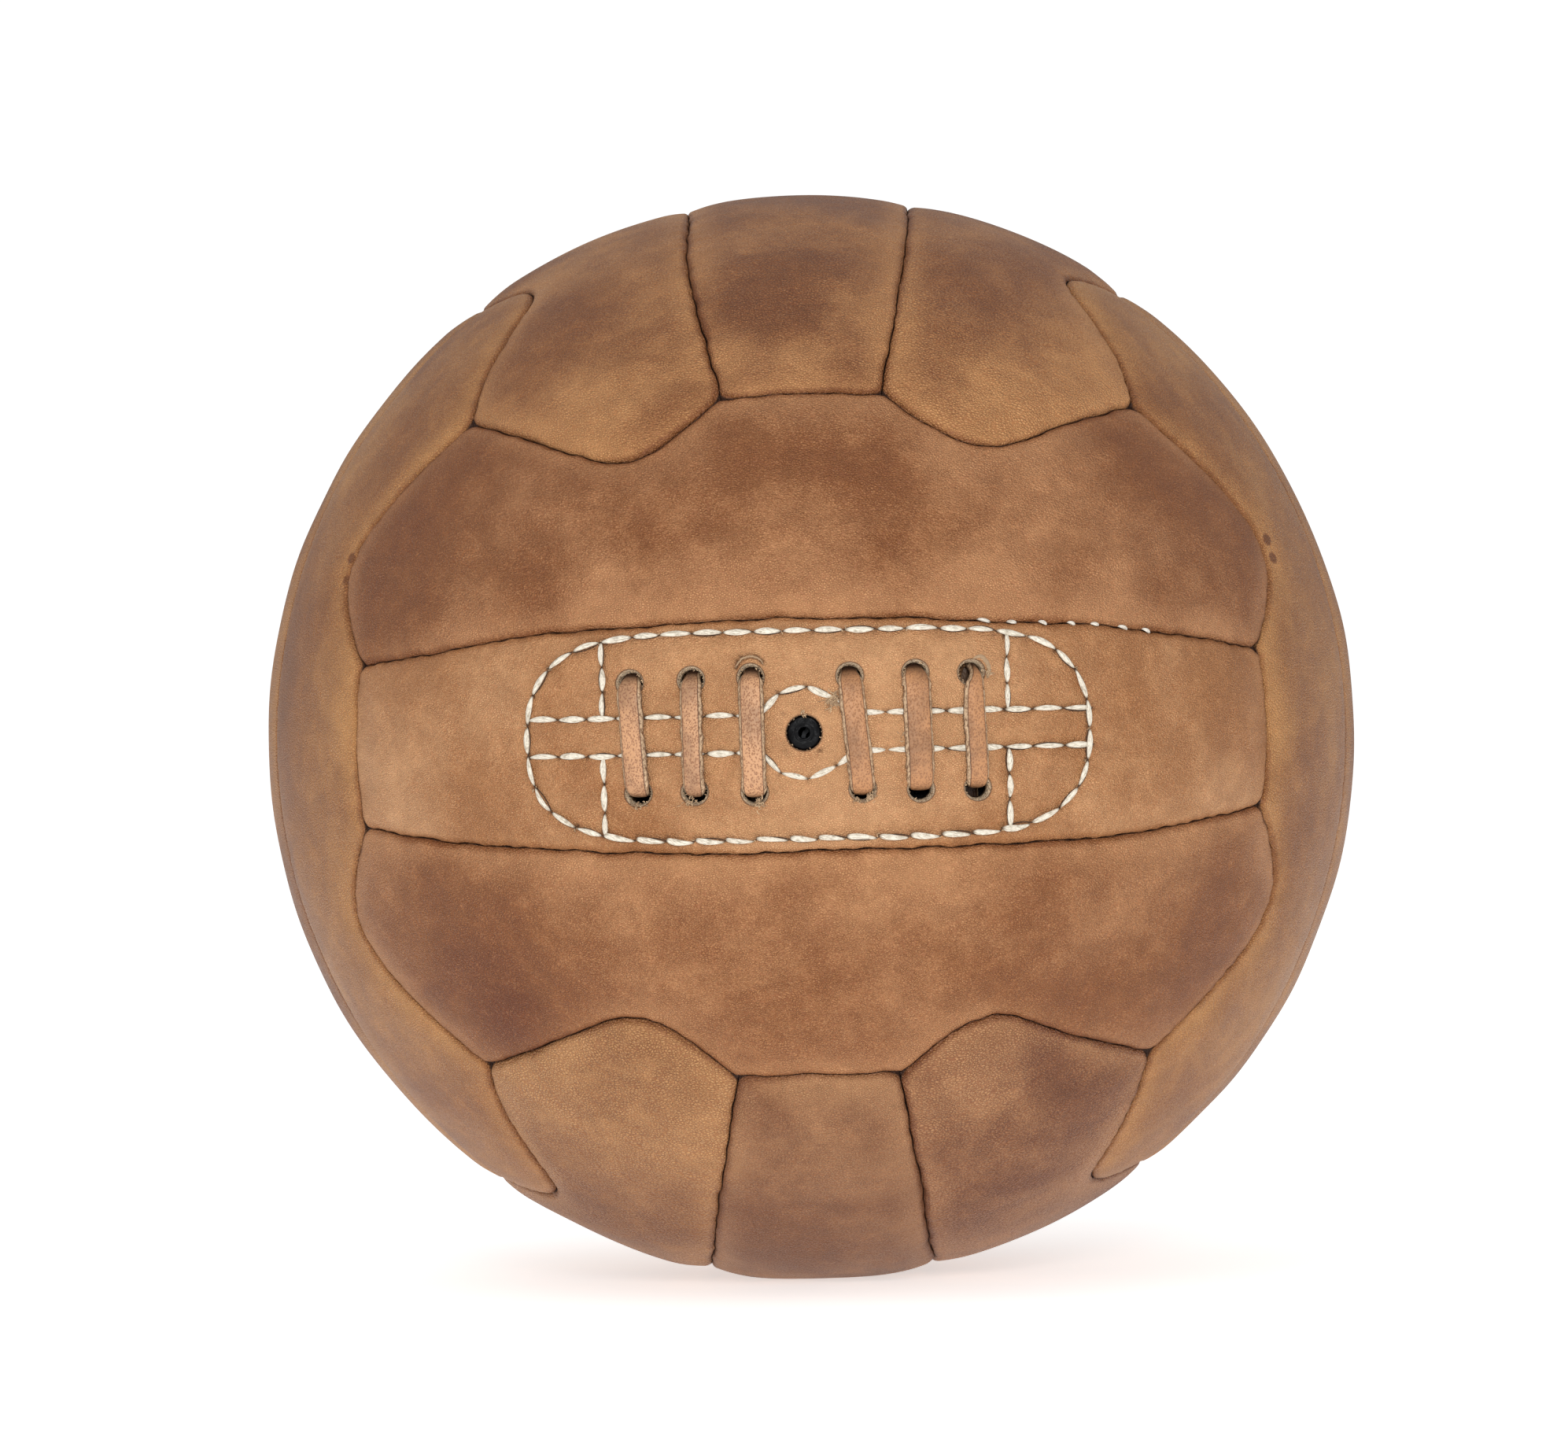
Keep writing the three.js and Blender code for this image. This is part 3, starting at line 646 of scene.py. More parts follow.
class Paint:
    """A node tree being filled; what a node takes in is a value or another node's socket."""

    def __init__(self, owner):
        owner.use_nodes = True
        self.owner, self.tree = owner, owner.node_tree
        self.tree.nodes.clear()

    def feed(self, socket, value):
        if isinstance(value, bpy.types.NodeSocket):
            self.tree.links.new(value, socket)
        else:
            socket.default_value = value

    def node(self, kind, inputs=None, **settings):
        made = self.tree.nodes.new(f"ShaderNode{kind}")
        for name, value in settings.items():
            setattr(made, name, value)
        for name, value in (inputs or {}).items():
            self.feed(made.inputs[name], value)
        return made

    def surface(self, color, roughness, normal=None, **fixed):
        """The Principled shader and its output; fixed holds constant inputs."""
        inputs = {"Base Color": color, "Roughness": roughness}
        inputs.update({key.replace("_", " "): value for key, value in fixed.items()})
        if normal is not None:
            inputs["Normal"] = normal
        shader = self.node("BsdfPrincipled", inputs)
        self.node("OutputMaterial", {"Surface": shader.outputs[0]})
        return self.owner

    def place(self, offset=(0, 0, 0), turn=(0, 0, 0), scale=(1, 1, 1)):
        coordinates = self.node("TexCoord").outputs["Object"]
        return self.node("Mapping", {"Vector": coordinates, "Location": offset,
                                     "Rotation": turn, "Scale": scale}).outputs[0]

    def noise(self, place, size_mm, detail=2.0, roughness=0.5, distortion=0.0, output="Fac"):
        return self.node("TexNoise", {
            "Vector": place, "Scale": 1 / (size_mm * MM), "Detail": detail,
            "Roughness": roughness, "Distortion": distortion}).outputs[output]

    def drift(self, place, size_mm, reach_mm):
        """Texture space bent by slow noise, so that grain doesn't look ruled."""
        bend = self.noise(place, size_mm, 1.0, output="Color")
        return self.node("VectorMath", {0: bend, 1: (reach_mm * MM,) * 3, 2: place},
                         operation="MULTIPLY_ADD").outputs[0]

    def cells(self, place, size_mm, feature="SMOOTH_F1"):
        inputs = {"Vector": place, "Scale": 1 / (size_mm * MM)}
        if feature == "SMOOTH_F1":
            inputs["Smoothness"] = 0.5
        return self.node("TexVoronoi", inputs, feature=feature).outputs["Distance"]

    def attribute(self, name):
        return self.node("Attribute", attribute_name=name).outputs["Fac"]

    def math(self, operation, a, b):
        return self.node("Math", {0: a, 1: b}, operation=operation).outputs[0]

    def times(self, a, b):
        return self.math("MULTIPLY", a, b)

    def remap(self, value, low, high, to_low=0.0, to_high=1.0):
        return self.node("MapRange", {
            "Value": value, "From Min": low, "From Max": high, "To Min": to_low,
            "To Max": to_high}, interpolation_type="SMOOTHSTEP").outputs[0]

    def blend(self, amount, a, b, mode="MIX"):
        made = self.node("Mix", {"Factor": amount}, data_type="RGBA", blend_type=mode)
        self.feed(made.inputs[6], a)
        self.feed(made.inputs[7], b)
        return made.outputs[2]

    def total(self, *parts):
        """The sum of (value, amount) pairs."""
        so_far = 0.0
        for value, amount in parts:
            so_far = self.node("Math", {0: value, 1: amount, 2: so_far},
                               operation="MULTIPLY_ADD").outputs[0]
        return so_far

    def bump(self, height_mm):
        return self.node("Bump", {"Height": height_mm, "Distance": MM}).outputs[0]

    def ramp(self, value, *stops):
        """A colour ramp from (place, colour) stops."""
        made = self.node("ValToRGB", {"Fac": value})
        elements = made.color_ramp.elements
        while len(elements) < len(stops):
            elements.new(0.5)
        for element, (position, color) in zip(elements, stops):
            element.position = position
            element.color = color
        return made.outputs[0]

    def spot(self, x, z, reach):
        """1 at a spot on the front of the ball, 0 a reach away."""
        coordinates = self.node("TexCoord").outputs["Object"]
        middle = tuple((front_place(x, z) + CENTRE) * MM)
        away = self.node("VectorMath", {0: coordinates, 1: middle},
                         operation="DISTANCE").outputs["Value"]
        return self.remap(away, reach * MM, 0.0)


def new_paint(name):
    return Paint(bpy.data.materials.new(name))


# Leather: three tones, the grain's size, how deep it is, how much the margins are lightened by wear
# and a painted highlight, and lighter or darker spots on the front as x, z, reach and amount,
# partly patches of tone and partly painted highlight and painted shade
Hide = namedtuple("Hide", "tones grain pebble worn spots wrinkles", defaults=((), 0.0))


def leather(name, hide, seed):
    """Aged leather: slow patches, margins lightened by wear and a painted highlight, flecks,
    painted shade in seams and pits, and a cellular grain.
    """
    p = new_paint(name)
    dark, middle, light = (srgb(*tone) for tone in hide.tones)
    rng = np.random.default_rng(seed)
    shift, turn = tuple(rng.uniform(-1, 1, 3)), tuple(rng.uniform(0, 3, 3))
    place = p.place(shift)
    grain_place = p.drift(p.place(shift, turn, (0.72, 1, 1)), 7, 2.2)
    rim, pit, cut = (p.attribute(layer) for layer in ("rim", "pit", "cut"))

    patches = p.noise(place, 34, 3.0, 0.5, 0.4)
    mottling = p.noise(place, 6.0, 4.0, 0.6, 0.4)
    fine = p.noise(grain_place, 0.34, 2.0, 0.6)
    grit = p.remap(fine, 0.3, 0.7)
    # The margins are lighter, partly from wear and partly a painted highlight where the rolled
    # edges turn to the light.
    ragged = p.total((rim, 1.0), (mottling, 8.0))
    margin = p.remap(ragged, 11.0, 5.0)
    # Painted shade: darker within 1.7 mm of a seam, where the rolled edges fall into shade.
    painted_crevice_shade = p.remap(rim, 1.7, 0.1)
    tone = p.total((patches, 0.85), (mottling, 0.18), (grit, 0.14), (margin, hide.worn),
                   (painted_crevice_shade, -0.22), *((p.spot(*spot[:3]), spot[3]) for spot in hide.spots))
    color = p.ramp(p.remap(tone, -0.11, 1.09), (0.15, dark), (0.5, middle), (0.85, light))

    pebbles = p.cells(grain_place, hide.grain)
    # The creases between the pebbles are darkened: partly grime, partly painted shade.
    crack = p.remap(p.cells(grain_place, hide.grain, "DISTANCE_TO_EDGE"), 0.24, 0.02)
    creases = p.times(crack, p.remap(mottling, 0.7, 0.4, 0.7, 1.0))
    color = p.blend(p.times(creases, 0.36 + 0.36 * hide.pebble), color, CREASE_SHADE, "MULTIPLY")
    color = p.blend(p.remap(fine, 0.58, 0.7, 0.0, 0.3), color, light)
    # Painted shade: the last 0.2 mm before a seam's gap, and the pit layer, take the painted shade
    # colour.
    seam = p.remap(rim, 0.2, 0.02)
    color = p.blend(p.math("MAXIMUM", seam, pit), color, PAINTED_SHADE_COLOUR)
    fibres = p.noise(place, 0.4, 3.0, 0.7)
    raw = p.blend(p.remap(fibres, 0.3, 0.55), srgb(122, 90, 62), srgb(228, 204, 172))
    color = p.blend(cut, color, raw)

    folds = p.noise(p.place(shift, scale=(0.1, 1, 1)), 1.6, 3.0, 0.6)
    height = p.total((pebbles, -0.24 - 0.2 * hide.pebble), (creases, -0.1), (grit, 0.05),
                     (mottling, 0.2), (folds, hide.wrinkles), (p.times(fibres, cut), 0.5))
    gloss = p.total((mottling, 0.2), (crack, 0.15), (0.27, 1.0))
    return p.surface(color, gloss, p.bump(height), Specular_IOR_Level=0.34)


def thread_material(name, light, dark):
    """Waxed thread with fibres along it, darker towards its ends and in dirty patches."""
    p = new_paint(name)
    along = p.times(p.attribute("along"), 0.1)
    strand_place = p.node("CombineXYZ", {
        "X": p.attribute("around"), "Y": along, "Z": p.attribute("number")}).outputs[0]
    fibres = p.node("TexNoise", {
        "Vector": strand_place, "Scale": 9.0, "Detail": 3.0, "Roughness": 0.65}).outputs["Fac"]
    dirt = p.noise(p.place(), 1.1, 3.0, 0.6)
    color = p.blend(p.remap(fibres, 0.4, 0.68), light, dark)
    ends = p.remap(p.attribute("end"), 0.14, 0.0)
    shade = p.math("MAXIMUM", ends, p.remap(dirt, 0.58, 0.8, 0.0, 0.4))
    color = p.blend(shade, color, srgb(112, 88, 64))
    return p.surface(color, 0.6, p.bump(p.total((fibres, 0.16))), Specular_IOR_Level=0.35)


def lace_material(name, ground, pore_shade, pores, seed):
    """Thong leather: pored grain side, pale cut edges and a dark line between them, with painted
    shade where it sinks into holes and painted contact shade at the foot of its sides.
    """
    p = new_paint(name)
    place = p.drift(p.place((seed, 0, 0), scale=(1, 1, 0.8)), 5, 1.0)
    speckle = p.remap(p.cells(place, 0.34, "F1"), 0.62, 0.14)
    fine = p.noise(place, 0.6, 4.0, 0.7)
    patches = p.total((p.noise(place, 7, 3.0, 0.6), 0.75), (fine, 0.25))
    dark = tuple(0.6 * c for c in ground[:3]) + (1.0,)
    color = p.blend(p.remap(patches, 0.36, 0.6), dark, ground)
    color = p.blend(p.times(speckle, pores), color, pore_shade)
    # Painted shade: the thong darkens where it sinks below the panel's surface into a hole.
    color = p.blend(p.times(p.attribute("sunk"), 0.96), color, srgb(52, 30, 17))
    raw = p.blend(p.remap(fine, 0.35, 0.6), srgb(122, 90, 64), srgb(206, 176, 142))
    color = p.blend(p.attribute("cut"), color, raw)
    # The lip layer: painted contact shade at the foot of the sides, and a dark line under the
    # grain.
    color = p.blend(p.attribute("lip"), color, srgb(74, 44, 28))
    height = p.total((speckle, -0.1 * pores), (fine, 0.08), (patches, 0.1))
    return p.surface(color, 0.46, p.bump(height), Specular_IOR_Level=0.5)


def rubber_material(name, tint, size_mm=0.8):
    p = new_paint(name)
    place = p.place()
    grain = p.noise(place, size_mm, 4.0, 0.6)
    scuffs = p.noise(place, size_mm * 4, 3.0, 0.7, 1.0)
    lighter = tuple(min(1.0, c * 2.4 + 0.01) for c in tint[:3]) + (1.0,)
    color = p.blend(p.remap(scuffs, 0.5, 0.8, 0.0, 0.6), tint, lighter)
    relief = p.bump(p.total((grain, 0.05), (scuffs, 0.2)))
    return p.surface(color, p.remap(grain, 0.3, 0.7, 0.3, 0.55), relief, Specular_IOR_Level=0.12)


def cloth_material(name, light, dark, pitch_mm):
    """Plain woven cloth: two crossing sets of threads and some slubs."""
    p = new_paint(name)
    place = p.place()
    weaves = [p.node("TexWave", {
        "Vector": place, "Scale": 0.5 / (pitch_mm * MM), "Distortion": 0.6, "Detail": 1.0},
        bands_direction=axis).outputs["Fac"] for axis in "XZ"]
    weave = p.times(*weaves)
    slubs = p.noise(place, pitch_mm * 3, 3.0, 0.6)
    amount = p.math("ADD", weave, p.times(slubs, 0.6))
    color = p.blend(p.remap(amount, 0.2, 1.1), dark, light)
    return p.surface(color, 0.9, p.bump(p.total((weave, 0.15))), Specular_IOR_Level=0.2)


# --- Stitches, lace and valve -----------------------------------------------------------

class Skins:
    """Gathers closed skins, with a value per point for each layer, into one mesh."""

    def __init__(self):
        self.points, self.faces, self.layers, self.count = [], [], {}, 0

    def add(self, points, faces, **layers):
        self.faces += [tuple(self.count + k for k in face) for face in faces]
        self.points.append(points)
        self.count += len(points)
        for key, values in layers.items():
            values = np.broadcast_to(values, len(points))
            self.layers.setdefault(key, []).append(values)

    def mesh(self, name):
        layers = {key: np.concatenate(values) for key, values in self.layers.items()}
        return add_mesh(name, np.concatenate(self.points), self.faces, layers)


def tube_faces(count, segments, closed=False):
    """Quads between rings; the last ring joins the first, or each end has a face."""
    rings = np.arange(count * segments).reshape(count, segments)
    faces = grid_faces(np.pad(rings, ((0, int(closed)), (0, 1)), "wrap")).tolist()
    return faces if closed else faces + [rings[0].tolist(), rings[-1, ::-1].tolist()]


def strand(centres, half_widths, half_heights, segments=12):
    """A closed tube along the surface; its widths lie flat on the ball."""
    tangents = unit(np.gradient(centres, axis=0))
    sides = unit(np.cross(tangents, unit(centres)))
    ups = np.cross(sides, tangents)
    turn = once_round(segments)
    half_widths, half_heights = (np.broadcast_to(np.asarray(half).reshape(-1, 1, 1),
                                                 (len(centres), 1, 1))
                                 for half in (half_widths, half_heights))
    ring = np.cos(turn)[None, :, None] * sides[:, None] * half_widths
    ring = ring + np.sin(turn)[None, :, None] * ups[:, None] * half_heights
    return (centres[:, None] + ring).reshape(-1, 3), tube_faces(len(centres), segments)


def add_stitch(skins, flat, half_width, number, blunt):
    """One plump lens-shaped stitch whose ends dive into the leather."""
    share = np.linspace(0, 1, len(flat))
    belly = np.sin(np.pi * share**blunt)
    centres = shell_point(flat, RADIUS - STITCH_DIVE + (STITCH_DIVE + STITCH_LIFT) * belly**0.35)
    turn = np.tile(once_round(STITCH_SIDES), len(share))
    along = np.repeat(share, STITCH_SIDES)
    skins.add(*strand(centres, 0.1 + half_width * belly**0.8, 0.1 + 0.24 * belly**0.6,
                      STITCH_SIDES),
              along=along * STITCH_PITCH, number=number * 1.7,
              around=np.abs((turn / np.pi + along * 0.5) % 2 - 1),
              end=np.minimum(along, 1 - along))


def bowed(a, b, share, bow):
    """Flat points from a to b, pushed sideways by a bow."""
    heading = unit(b - a)
    return a + np.outer(share, b - a) + np.outer(bow, (-heading[1], heading[0]))


def build_stitches(name, ends, seed):
    """A row of stitches; the lowest are wedges that step sideways from one to the next."""
    rng = np.random.default_rng(seed)
    skins, share = Skins(), np.linspace(0, 1, 17)
    for number, (a, b) in enumerate(zip(ends[:-1], ends[1:])):
        heading = unit(b - a)
        slant = WEDGE_SLANT if max(a[1], b[1]) < WEDGES_BELOW else 0.0
        bow = rng.normal(0, 0.1) * np.sin(np.pi * share) + slant * (0.5 - share)
        a, b = a + heading * rng.uniform(0, 0.25), b - heading * rng.uniform(0, 0.25)
        blunt = 0.6 if slant else rng.uniform(0.8, 1.25)
        add_stitch(skins, bowed(a, b, share, bow), rng.uniform(0.38, 0.56), number, blunt)
    return skins.mesh(name)


def build_lock_thread(name, ends, seed):
    """The thin dark thread that hugs the stitches and crosses over at each needle hole."""
    rng = np.random.default_rng(seed)
    share = np.linspace(0, 1, 11)[:-1]
    path = []
    for number, (a, b) in enumerate(zip(ends[:-1], ends[1:])):
        swing = rng.uniform(0.45, 0.62) * np.sin(np.pi * share) ** 0.7
        path.append(bowed(a, b, share, swing * (-1) ** number))
    flat = np.concatenate(path + [ends[-1:]])
    dips = np.tile(np.sin(np.pi * share), len(ends) - 1)
    lift = RADIUS - 0.2 + 0.08 * np.concatenate([dips, [0]])
    skins = Skins()
    skins.add(*strand(shell_point(flat, lift), 0.1, 0.1, 6))
    return skins.mesh(name)


def smooth_path(points, per_span):
    """A Catmull-Rom curve through a list of points."""
    points = np.asarray(points, float)
    ends = [2 * points[:1] - points[1:2], 2 * points[-1:] - points[-2:-1]]
    padded = np.concatenate([ends[0], points, ends[1]])
    u = np.linspace(0, 1, per_span, endpoint=False)[:, None]
    spans = [0.5 * (2 * b + (c - a) * u + (2 * a - 5 * b + 4 * c - d) * u**2
                    + (3 * b - a - 3 * c + d) * u**3)
             for a, b, c, d in zip(padded, padded[1:], padded[2:], padded[3:])]
    return np.concatenate(spans + [points[-1:]])


UNDER = -6.05  # the thong's run behind the panel, from the crown sphere
UNDER_HALF_WIDTH = 2.0
THONG_END = 16.5  # how far above or below the valve a thong's hidden ends lie
BAR_HEIGHT = 0.88
RISE = (  # z beyond the upper hole's middle, height, share of the full width
    (1.4, UNDER + 0.4, 0.85), (2.2, UNDER + 1.6, 0.8), (1.75, -3.1, 0.7), (1.0, -1.9, 0.72),
    (0.25, -0.85, 0.82), (-0.6, 0.0, 0.95), (-1.8, 0.62, 1.0), (-3.6, 0.84, 1.0),
)
FALL = (  # the same at the lower hole, measured back towards the valve
    (-3.6, 0.84, 1.0), (-1.7, 0.7, 1.0), (-0.5, 0.1, 0.96), (0.15, -0.9, 0.86),
    (0.3, -2.2, 0.76), (0.1, -4.2, 0.8), (-0.9, UNDER + 0.5, 0.85),
)


def lace_route(bars):
    """x, z, radius and half width along one thong, over its bars and back under."""
    first, last = bars[0], bars[-1]
    route = [(first.top, THONG_END, UNDER, 2.1), (first.top, 14.2, UNDER, UNDER_HALF_WIDTH)]
    for bar, following in zip(bars, [*bars[1:], None]):
        half = bar.width / 2
        over = [(bar.high + away, height, half * share) for away, height, share in RISE]
        over += [(1.5, BAR_HEIGHT, half), (-2.0, BAR_HEIGHT, half)]
        over += [(bar.low + bar.early - away, height, half * share)
                 for away, height, share in FALL]
        for z, height, width in over:
            lean = (bar.high - z) / (bar.high - bar.low)
            folded = bar.folded * float(np.clip((z - bar.high + 4.5) / 4, 0, 1))
            x = bar.top + (bar.foot - bar.top) * lean + half * folded
            route.append((x, z, height, width * (1 - folded)))
        if following:
            for share in np.linspace(0.1, 0.9, 4):
                x = bar.foot + (following.top - bar.foot) * share
                z = bar.low + 2 + (following.high - bar.low - 2) * share
                route.append((x, z, UNDER, UNDER_HALF_WIDTH))
    return smooth_path(route + [(last.foot, -THONG_END, UNDER, 2.1)], 7) + (0, 0, RADIUS, 0)


# The thong's section up one side: inset from its edge, height, cut face, dark line (painted contact
# shade at the foot, a dark line under the grain near the top); and then over its top: share of the
# way out, height
SIDE_SECTION = ((0.15, -1.0, 1, 0.8), (0.0, -0.7, 1, 1), (0.05, -0.3, 1, 0.5), (0.2, 0.1, 1, 0),
                (0.46, 0.66, 1, 0), (0.54, 0.82, 0, 1), (0.68, 0.96, 0, 0))
TOP_SECTION = ((0.8, 1.05), (0.35, 1.14), (0.0, 1.16))


def build_lace(name, bars, seed):
    """One flat thong with bevelled cut edges that waver a little."""
    route = lace_route(bars)
    centres = shell_point(route[:, :2], route[:, 2])
    tangents = unit(np.gradient(centres, axis=0))
    ups = unit(np.cross(tangents, np.cross([0, 0, 1.0], centres)))
    sides = np.cross(tangents, ups)
    half = route[:, 3:]
    inset, rise, cut, lip = np.array(SIDE_SECTION).T
    share, top_rise = np.array(TOP_SECTION).T
    right = np.concatenate([half - inset, (half - inset[-1]) * share], 1)
    across = np.concatenate([right, -right[:, -2::-1]], 1)
    rise = np.concatenate([rise, top_rise, top_rise[-2::-1], rise[::-1]]) * LACE_HALF_THICKNESS
    cut, lip = (np.tile(np.concatenate([layer, np.zeros(5), layer[::-1]]), len(route))
                for layer in (cut, lip))
    base = centres[:, None] + sides[:, None] * across[..., None]
    flat_base = base.reshape(-1, 3)
    waver = 0.07 * ripple(flat_base, 3.5, seed) + 0.035 * ripple(flat_base, 0.8, seed + 1)
    edge = (np.abs(across) / half) ** 6
    push = np.sign(across) * edge * waver.reshape(across.shape)
    points = base + sides[:, None] * push[..., None] + ups[:, None] * rise[None, :, None]
    # How far the thong sinks below the surface, for its painted shade in the holes.
    sunk = np.clip((RADIUS + 0.3 - route[:, 2]) / 2.0, 0, 1)
    skins = Skins()
    skins.add(points.reshape(-1, 3), tube_faces(*across.shape), cut=cut, lip=lip,
              sunk=np.repeat(sunk, across.shape[1]))
    return skins.mesh(name)


def lathe(profile, segments):
    """A closed profile of radius and height turned about the line through the valve."""
    out = unit(shell_point((0, 0), RADIUS))
    side = unit(np.cross(out, [0, 0, 1.0]))
    up = np.cross(side, out)
    turn = once_round(segments)[None, :, None]
    radius, height = np.asarray(profile, float).T[..., None, None]
    rings = radius * (np.cos(turn) * side + np.sin(turn) * up) + height * out
    return rings.reshape(-1, 3), tube_faces(len(profile), segments, closed=True)


STEM = 3.3  # radius of the valve's stem
NEEDLE_HOLE = 1.0
FLANGE = 8.0  # radius of the valve's flange on the bladder
FLANGE_TOP, FLANGE_BASE = RADIUS - 13.6, RADIUS - 15.1


def build_valve():
    """The rubber stem: a domed end showing wear, a needle hole with a raised lip, and a flange."""
    top, round_off = RADIUS - 0.85, 0.3
    foot = -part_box("valve_body")[1].y / MM
    lip = [(NEEDLE_HOLE, top - 4), (NEEDLE_HOLE, top - 0.45), (1.06, top + 0.02),
           (1.2, top + 0.16), (1.4, top + 0.12)]
    dome = [(r, top + 0.2 - 0.32 * (r / STEM) ** 4 - 0.16 * math.exp(-((r - 1.6) / 0.14) ** 2))
            for r in np.linspace(1.5, 3.0, 13)]
    profile = lip + dome + [
        (3.2, top - 0.28), (STEM, top - 0.6), (STEM, top - 4), (STEM, FLANGE_TOP + round_off),
        (STEM + round_off, FLANGE_TOP), (FLANGE - round_off, FLANGE_TOP),
        (FLANGE, FLANGE_TOP - round_off), (FLANGE, FLANGE_BASE + round_off),
        (FLANGE - round_off, FLANGE_BASE), (STEM, FLANGE_BASE),
        (STEM, foot), (2.2, foot), (2.2, top - 4)]
    points, faces = lathe(profile, 64)
    flutter = ripple(points, 1.6, 61) * np.clip(np.linalg.norm(points, axis=1) - top + 2, 0, 1)
    return add_mesh("valve_stem", points + 0.05 * flutter[:, None] * unit(points), faces)


def add_fibres(skins, rng, spot, count, reach, spread, height=1.2, root=RADIUS - 0.1):
    """Loose fibres that curl out of a torn edge at a flat spot."""
    share = np.linspace(0, 1, 8)
    for _ in range(count):
        start = np.array(spot) + rng.normal(0, spread, 2)
        bend = rng.uniform(0, 2 * np.pi) + share * rng.normal(0, 2.2)
        step = on_circle(bend) * reach * rng.uniform(0.3, 1) / 8
        lift = root + share * (1 - share * 0.6) * rng.uniform(0.2, height)
        centres = shell_point(start + np.cumsum(step, 0), lift)
        thick = 0.12 * (1 - 0.6 * share) * rng.uniform(0.6, 1.5)
        skins.add(*strand(centres, thick, thick, 5), shade=rng.uniform(0, 1))


SLIVER = ((32.0, 13.2), (33.4, 13.6), (34.5, 12.6), (35.0, 10.9), (34.5, 9.4))
# Fluffs of torn leather: place, number of fibres, their reach and spread
FLUFFS = (
    ((5.8, 5.9), 90, 2.4, 0.7), ((12.3, -12.2), 30, 1.4, 0.4), ((9.8, -13.0), 20, 1.0, 0.5),
    ((-8.7, -13.0), 26, 1.3, 0.5), ((-21.6, -12.4), 22, 1.1, 0.6), ((-31.4, -12.7), 18, 0.9, 0.6),
    ((34.6, 10.6), 20, 1.1, 0.4), ((18.2, -1.2), 12, 1.6, 0.4), ((0.0, 3.5), 16, 0.7, 0.4),
)


def build_torn_bits():
    """Frayed leather at the lace holes, a torn sliver and the slipped punch's crescent."""
    rng = np.random.default_rng(300)
    skins = Skins()
    for path, half in ((smooth_path(SLIVER, 6), 0.42), (punch_mark(), 0.16)):
        belly = np.sin(np.pi * np.linspace(0, 1, len(path))) ** 0.6
        centres = shell_point(path + 0.06 * rng.normal(size=path.shape), RADIUS - 0.12)
        skins.add(*strand(centres, 0.06 + half * belly, 0.12 + 0.1 * belly),
                  shade=rng.uniform(0.1, 0.4))
    for fluff in FLUFFS:
        add_fibres(skins, rng, *fluff)
    for spot, radius in HOLES:
        for place in circle(spot, radius + 0.1, 26):
            add_fibres(skins, rng, place, 1, 0.55, 0.1, 0.3, RADIUS - 0.75)
    for place in STITCH_ENDS["outline_stitching"][::2]:
        add_fibres(skins, rng, place, 2, 0.9, 0.2, 0.25, RADIUS - 0.2)
    return skins.mesh("torn_leather_fibres")


def seam_runs():
    """Every seam of the ball once, as points on the unit sphere."""
    share = np.linspace(0, 1, 600)
    for face in FACES:
        basis = face_basis(face)
        for side in (-1, 1):
            yield seam_curve(side, share) @ basis
            yield wave_curve(side, share) @ basis


def build_hidden_seams():
    """The holding stitches deep in every seam."""
    skins = Skins()
    for run in seam_runs():
        path = run * RADIUS
        reach = arc_length(path)
        for start in np.arange(STITCH_PITCH / 2, reach[-1] - STITCH_PITCH, STITCH_PITCH):
            line = along_path(path, reach, np.linspace(start, start + STITCH_PITCH * 0.6, 9))
            skins.add(*strand(unit(line) * (RADIUS - SEAM_DEPTH), 0.17, 0.13, 6),
                      along=0.0, around=0.0, number=0.0, end=0.5)
    return skins.mesh("seam_stitches")


SHOWN_FROM, SHOWN_PITCH, SHOWN_COUNT = 33.0, 6.0, 7  # arc length from the seam's middle


def build_shown_seams():
    """The seam stitches that lie on the outside, above the lacing on the right."""
    rng = np.random.default_rng(12)
    skins, share, sides = Skins(), np.linspace(0, 1, 9), 10
    path = seam_curve(1, np.linspace(0, 1, 600)) @ face_basis("front") * RADIUS
    path = handmade(path, np.zeros(len(path)))
    reach = arc_length(path) - arc_length(path)[-1] / 2
    belly = np.sin(np.pi * share)
    for number in range(SHOWN_COUNT):
        start = SHOWN_FROM + number * SHOWN_PITCH + rng.uniform(-0.6, 0.6)
        line = along_path(path, reach, np.linspace(start, start + rng.uniform(1.6, 2.6), 9))
        tilt = np.outer(rng.uniform(0.1, 0.3) * (share - 0.5) * 2, [0, 0, -1])
        centres = unit(line + tilt) * (RADIUS - 1.5 + 0.7 * belly**0.4)[:, None]
        skins.add(*strand(centres, 0.12 + 0.26 * belly**0.7, 0.1 + 0.2 * belly, sides),
                  along=np.repeat(share, sides) * 2,
                  around=np.tile(np.linspace(0, 1, sides), len(share)), number=number, end=0.2)
    return skins.mesh("shown_seam_stitches")


# --- Assembly ---------------------------------------------------------------------------

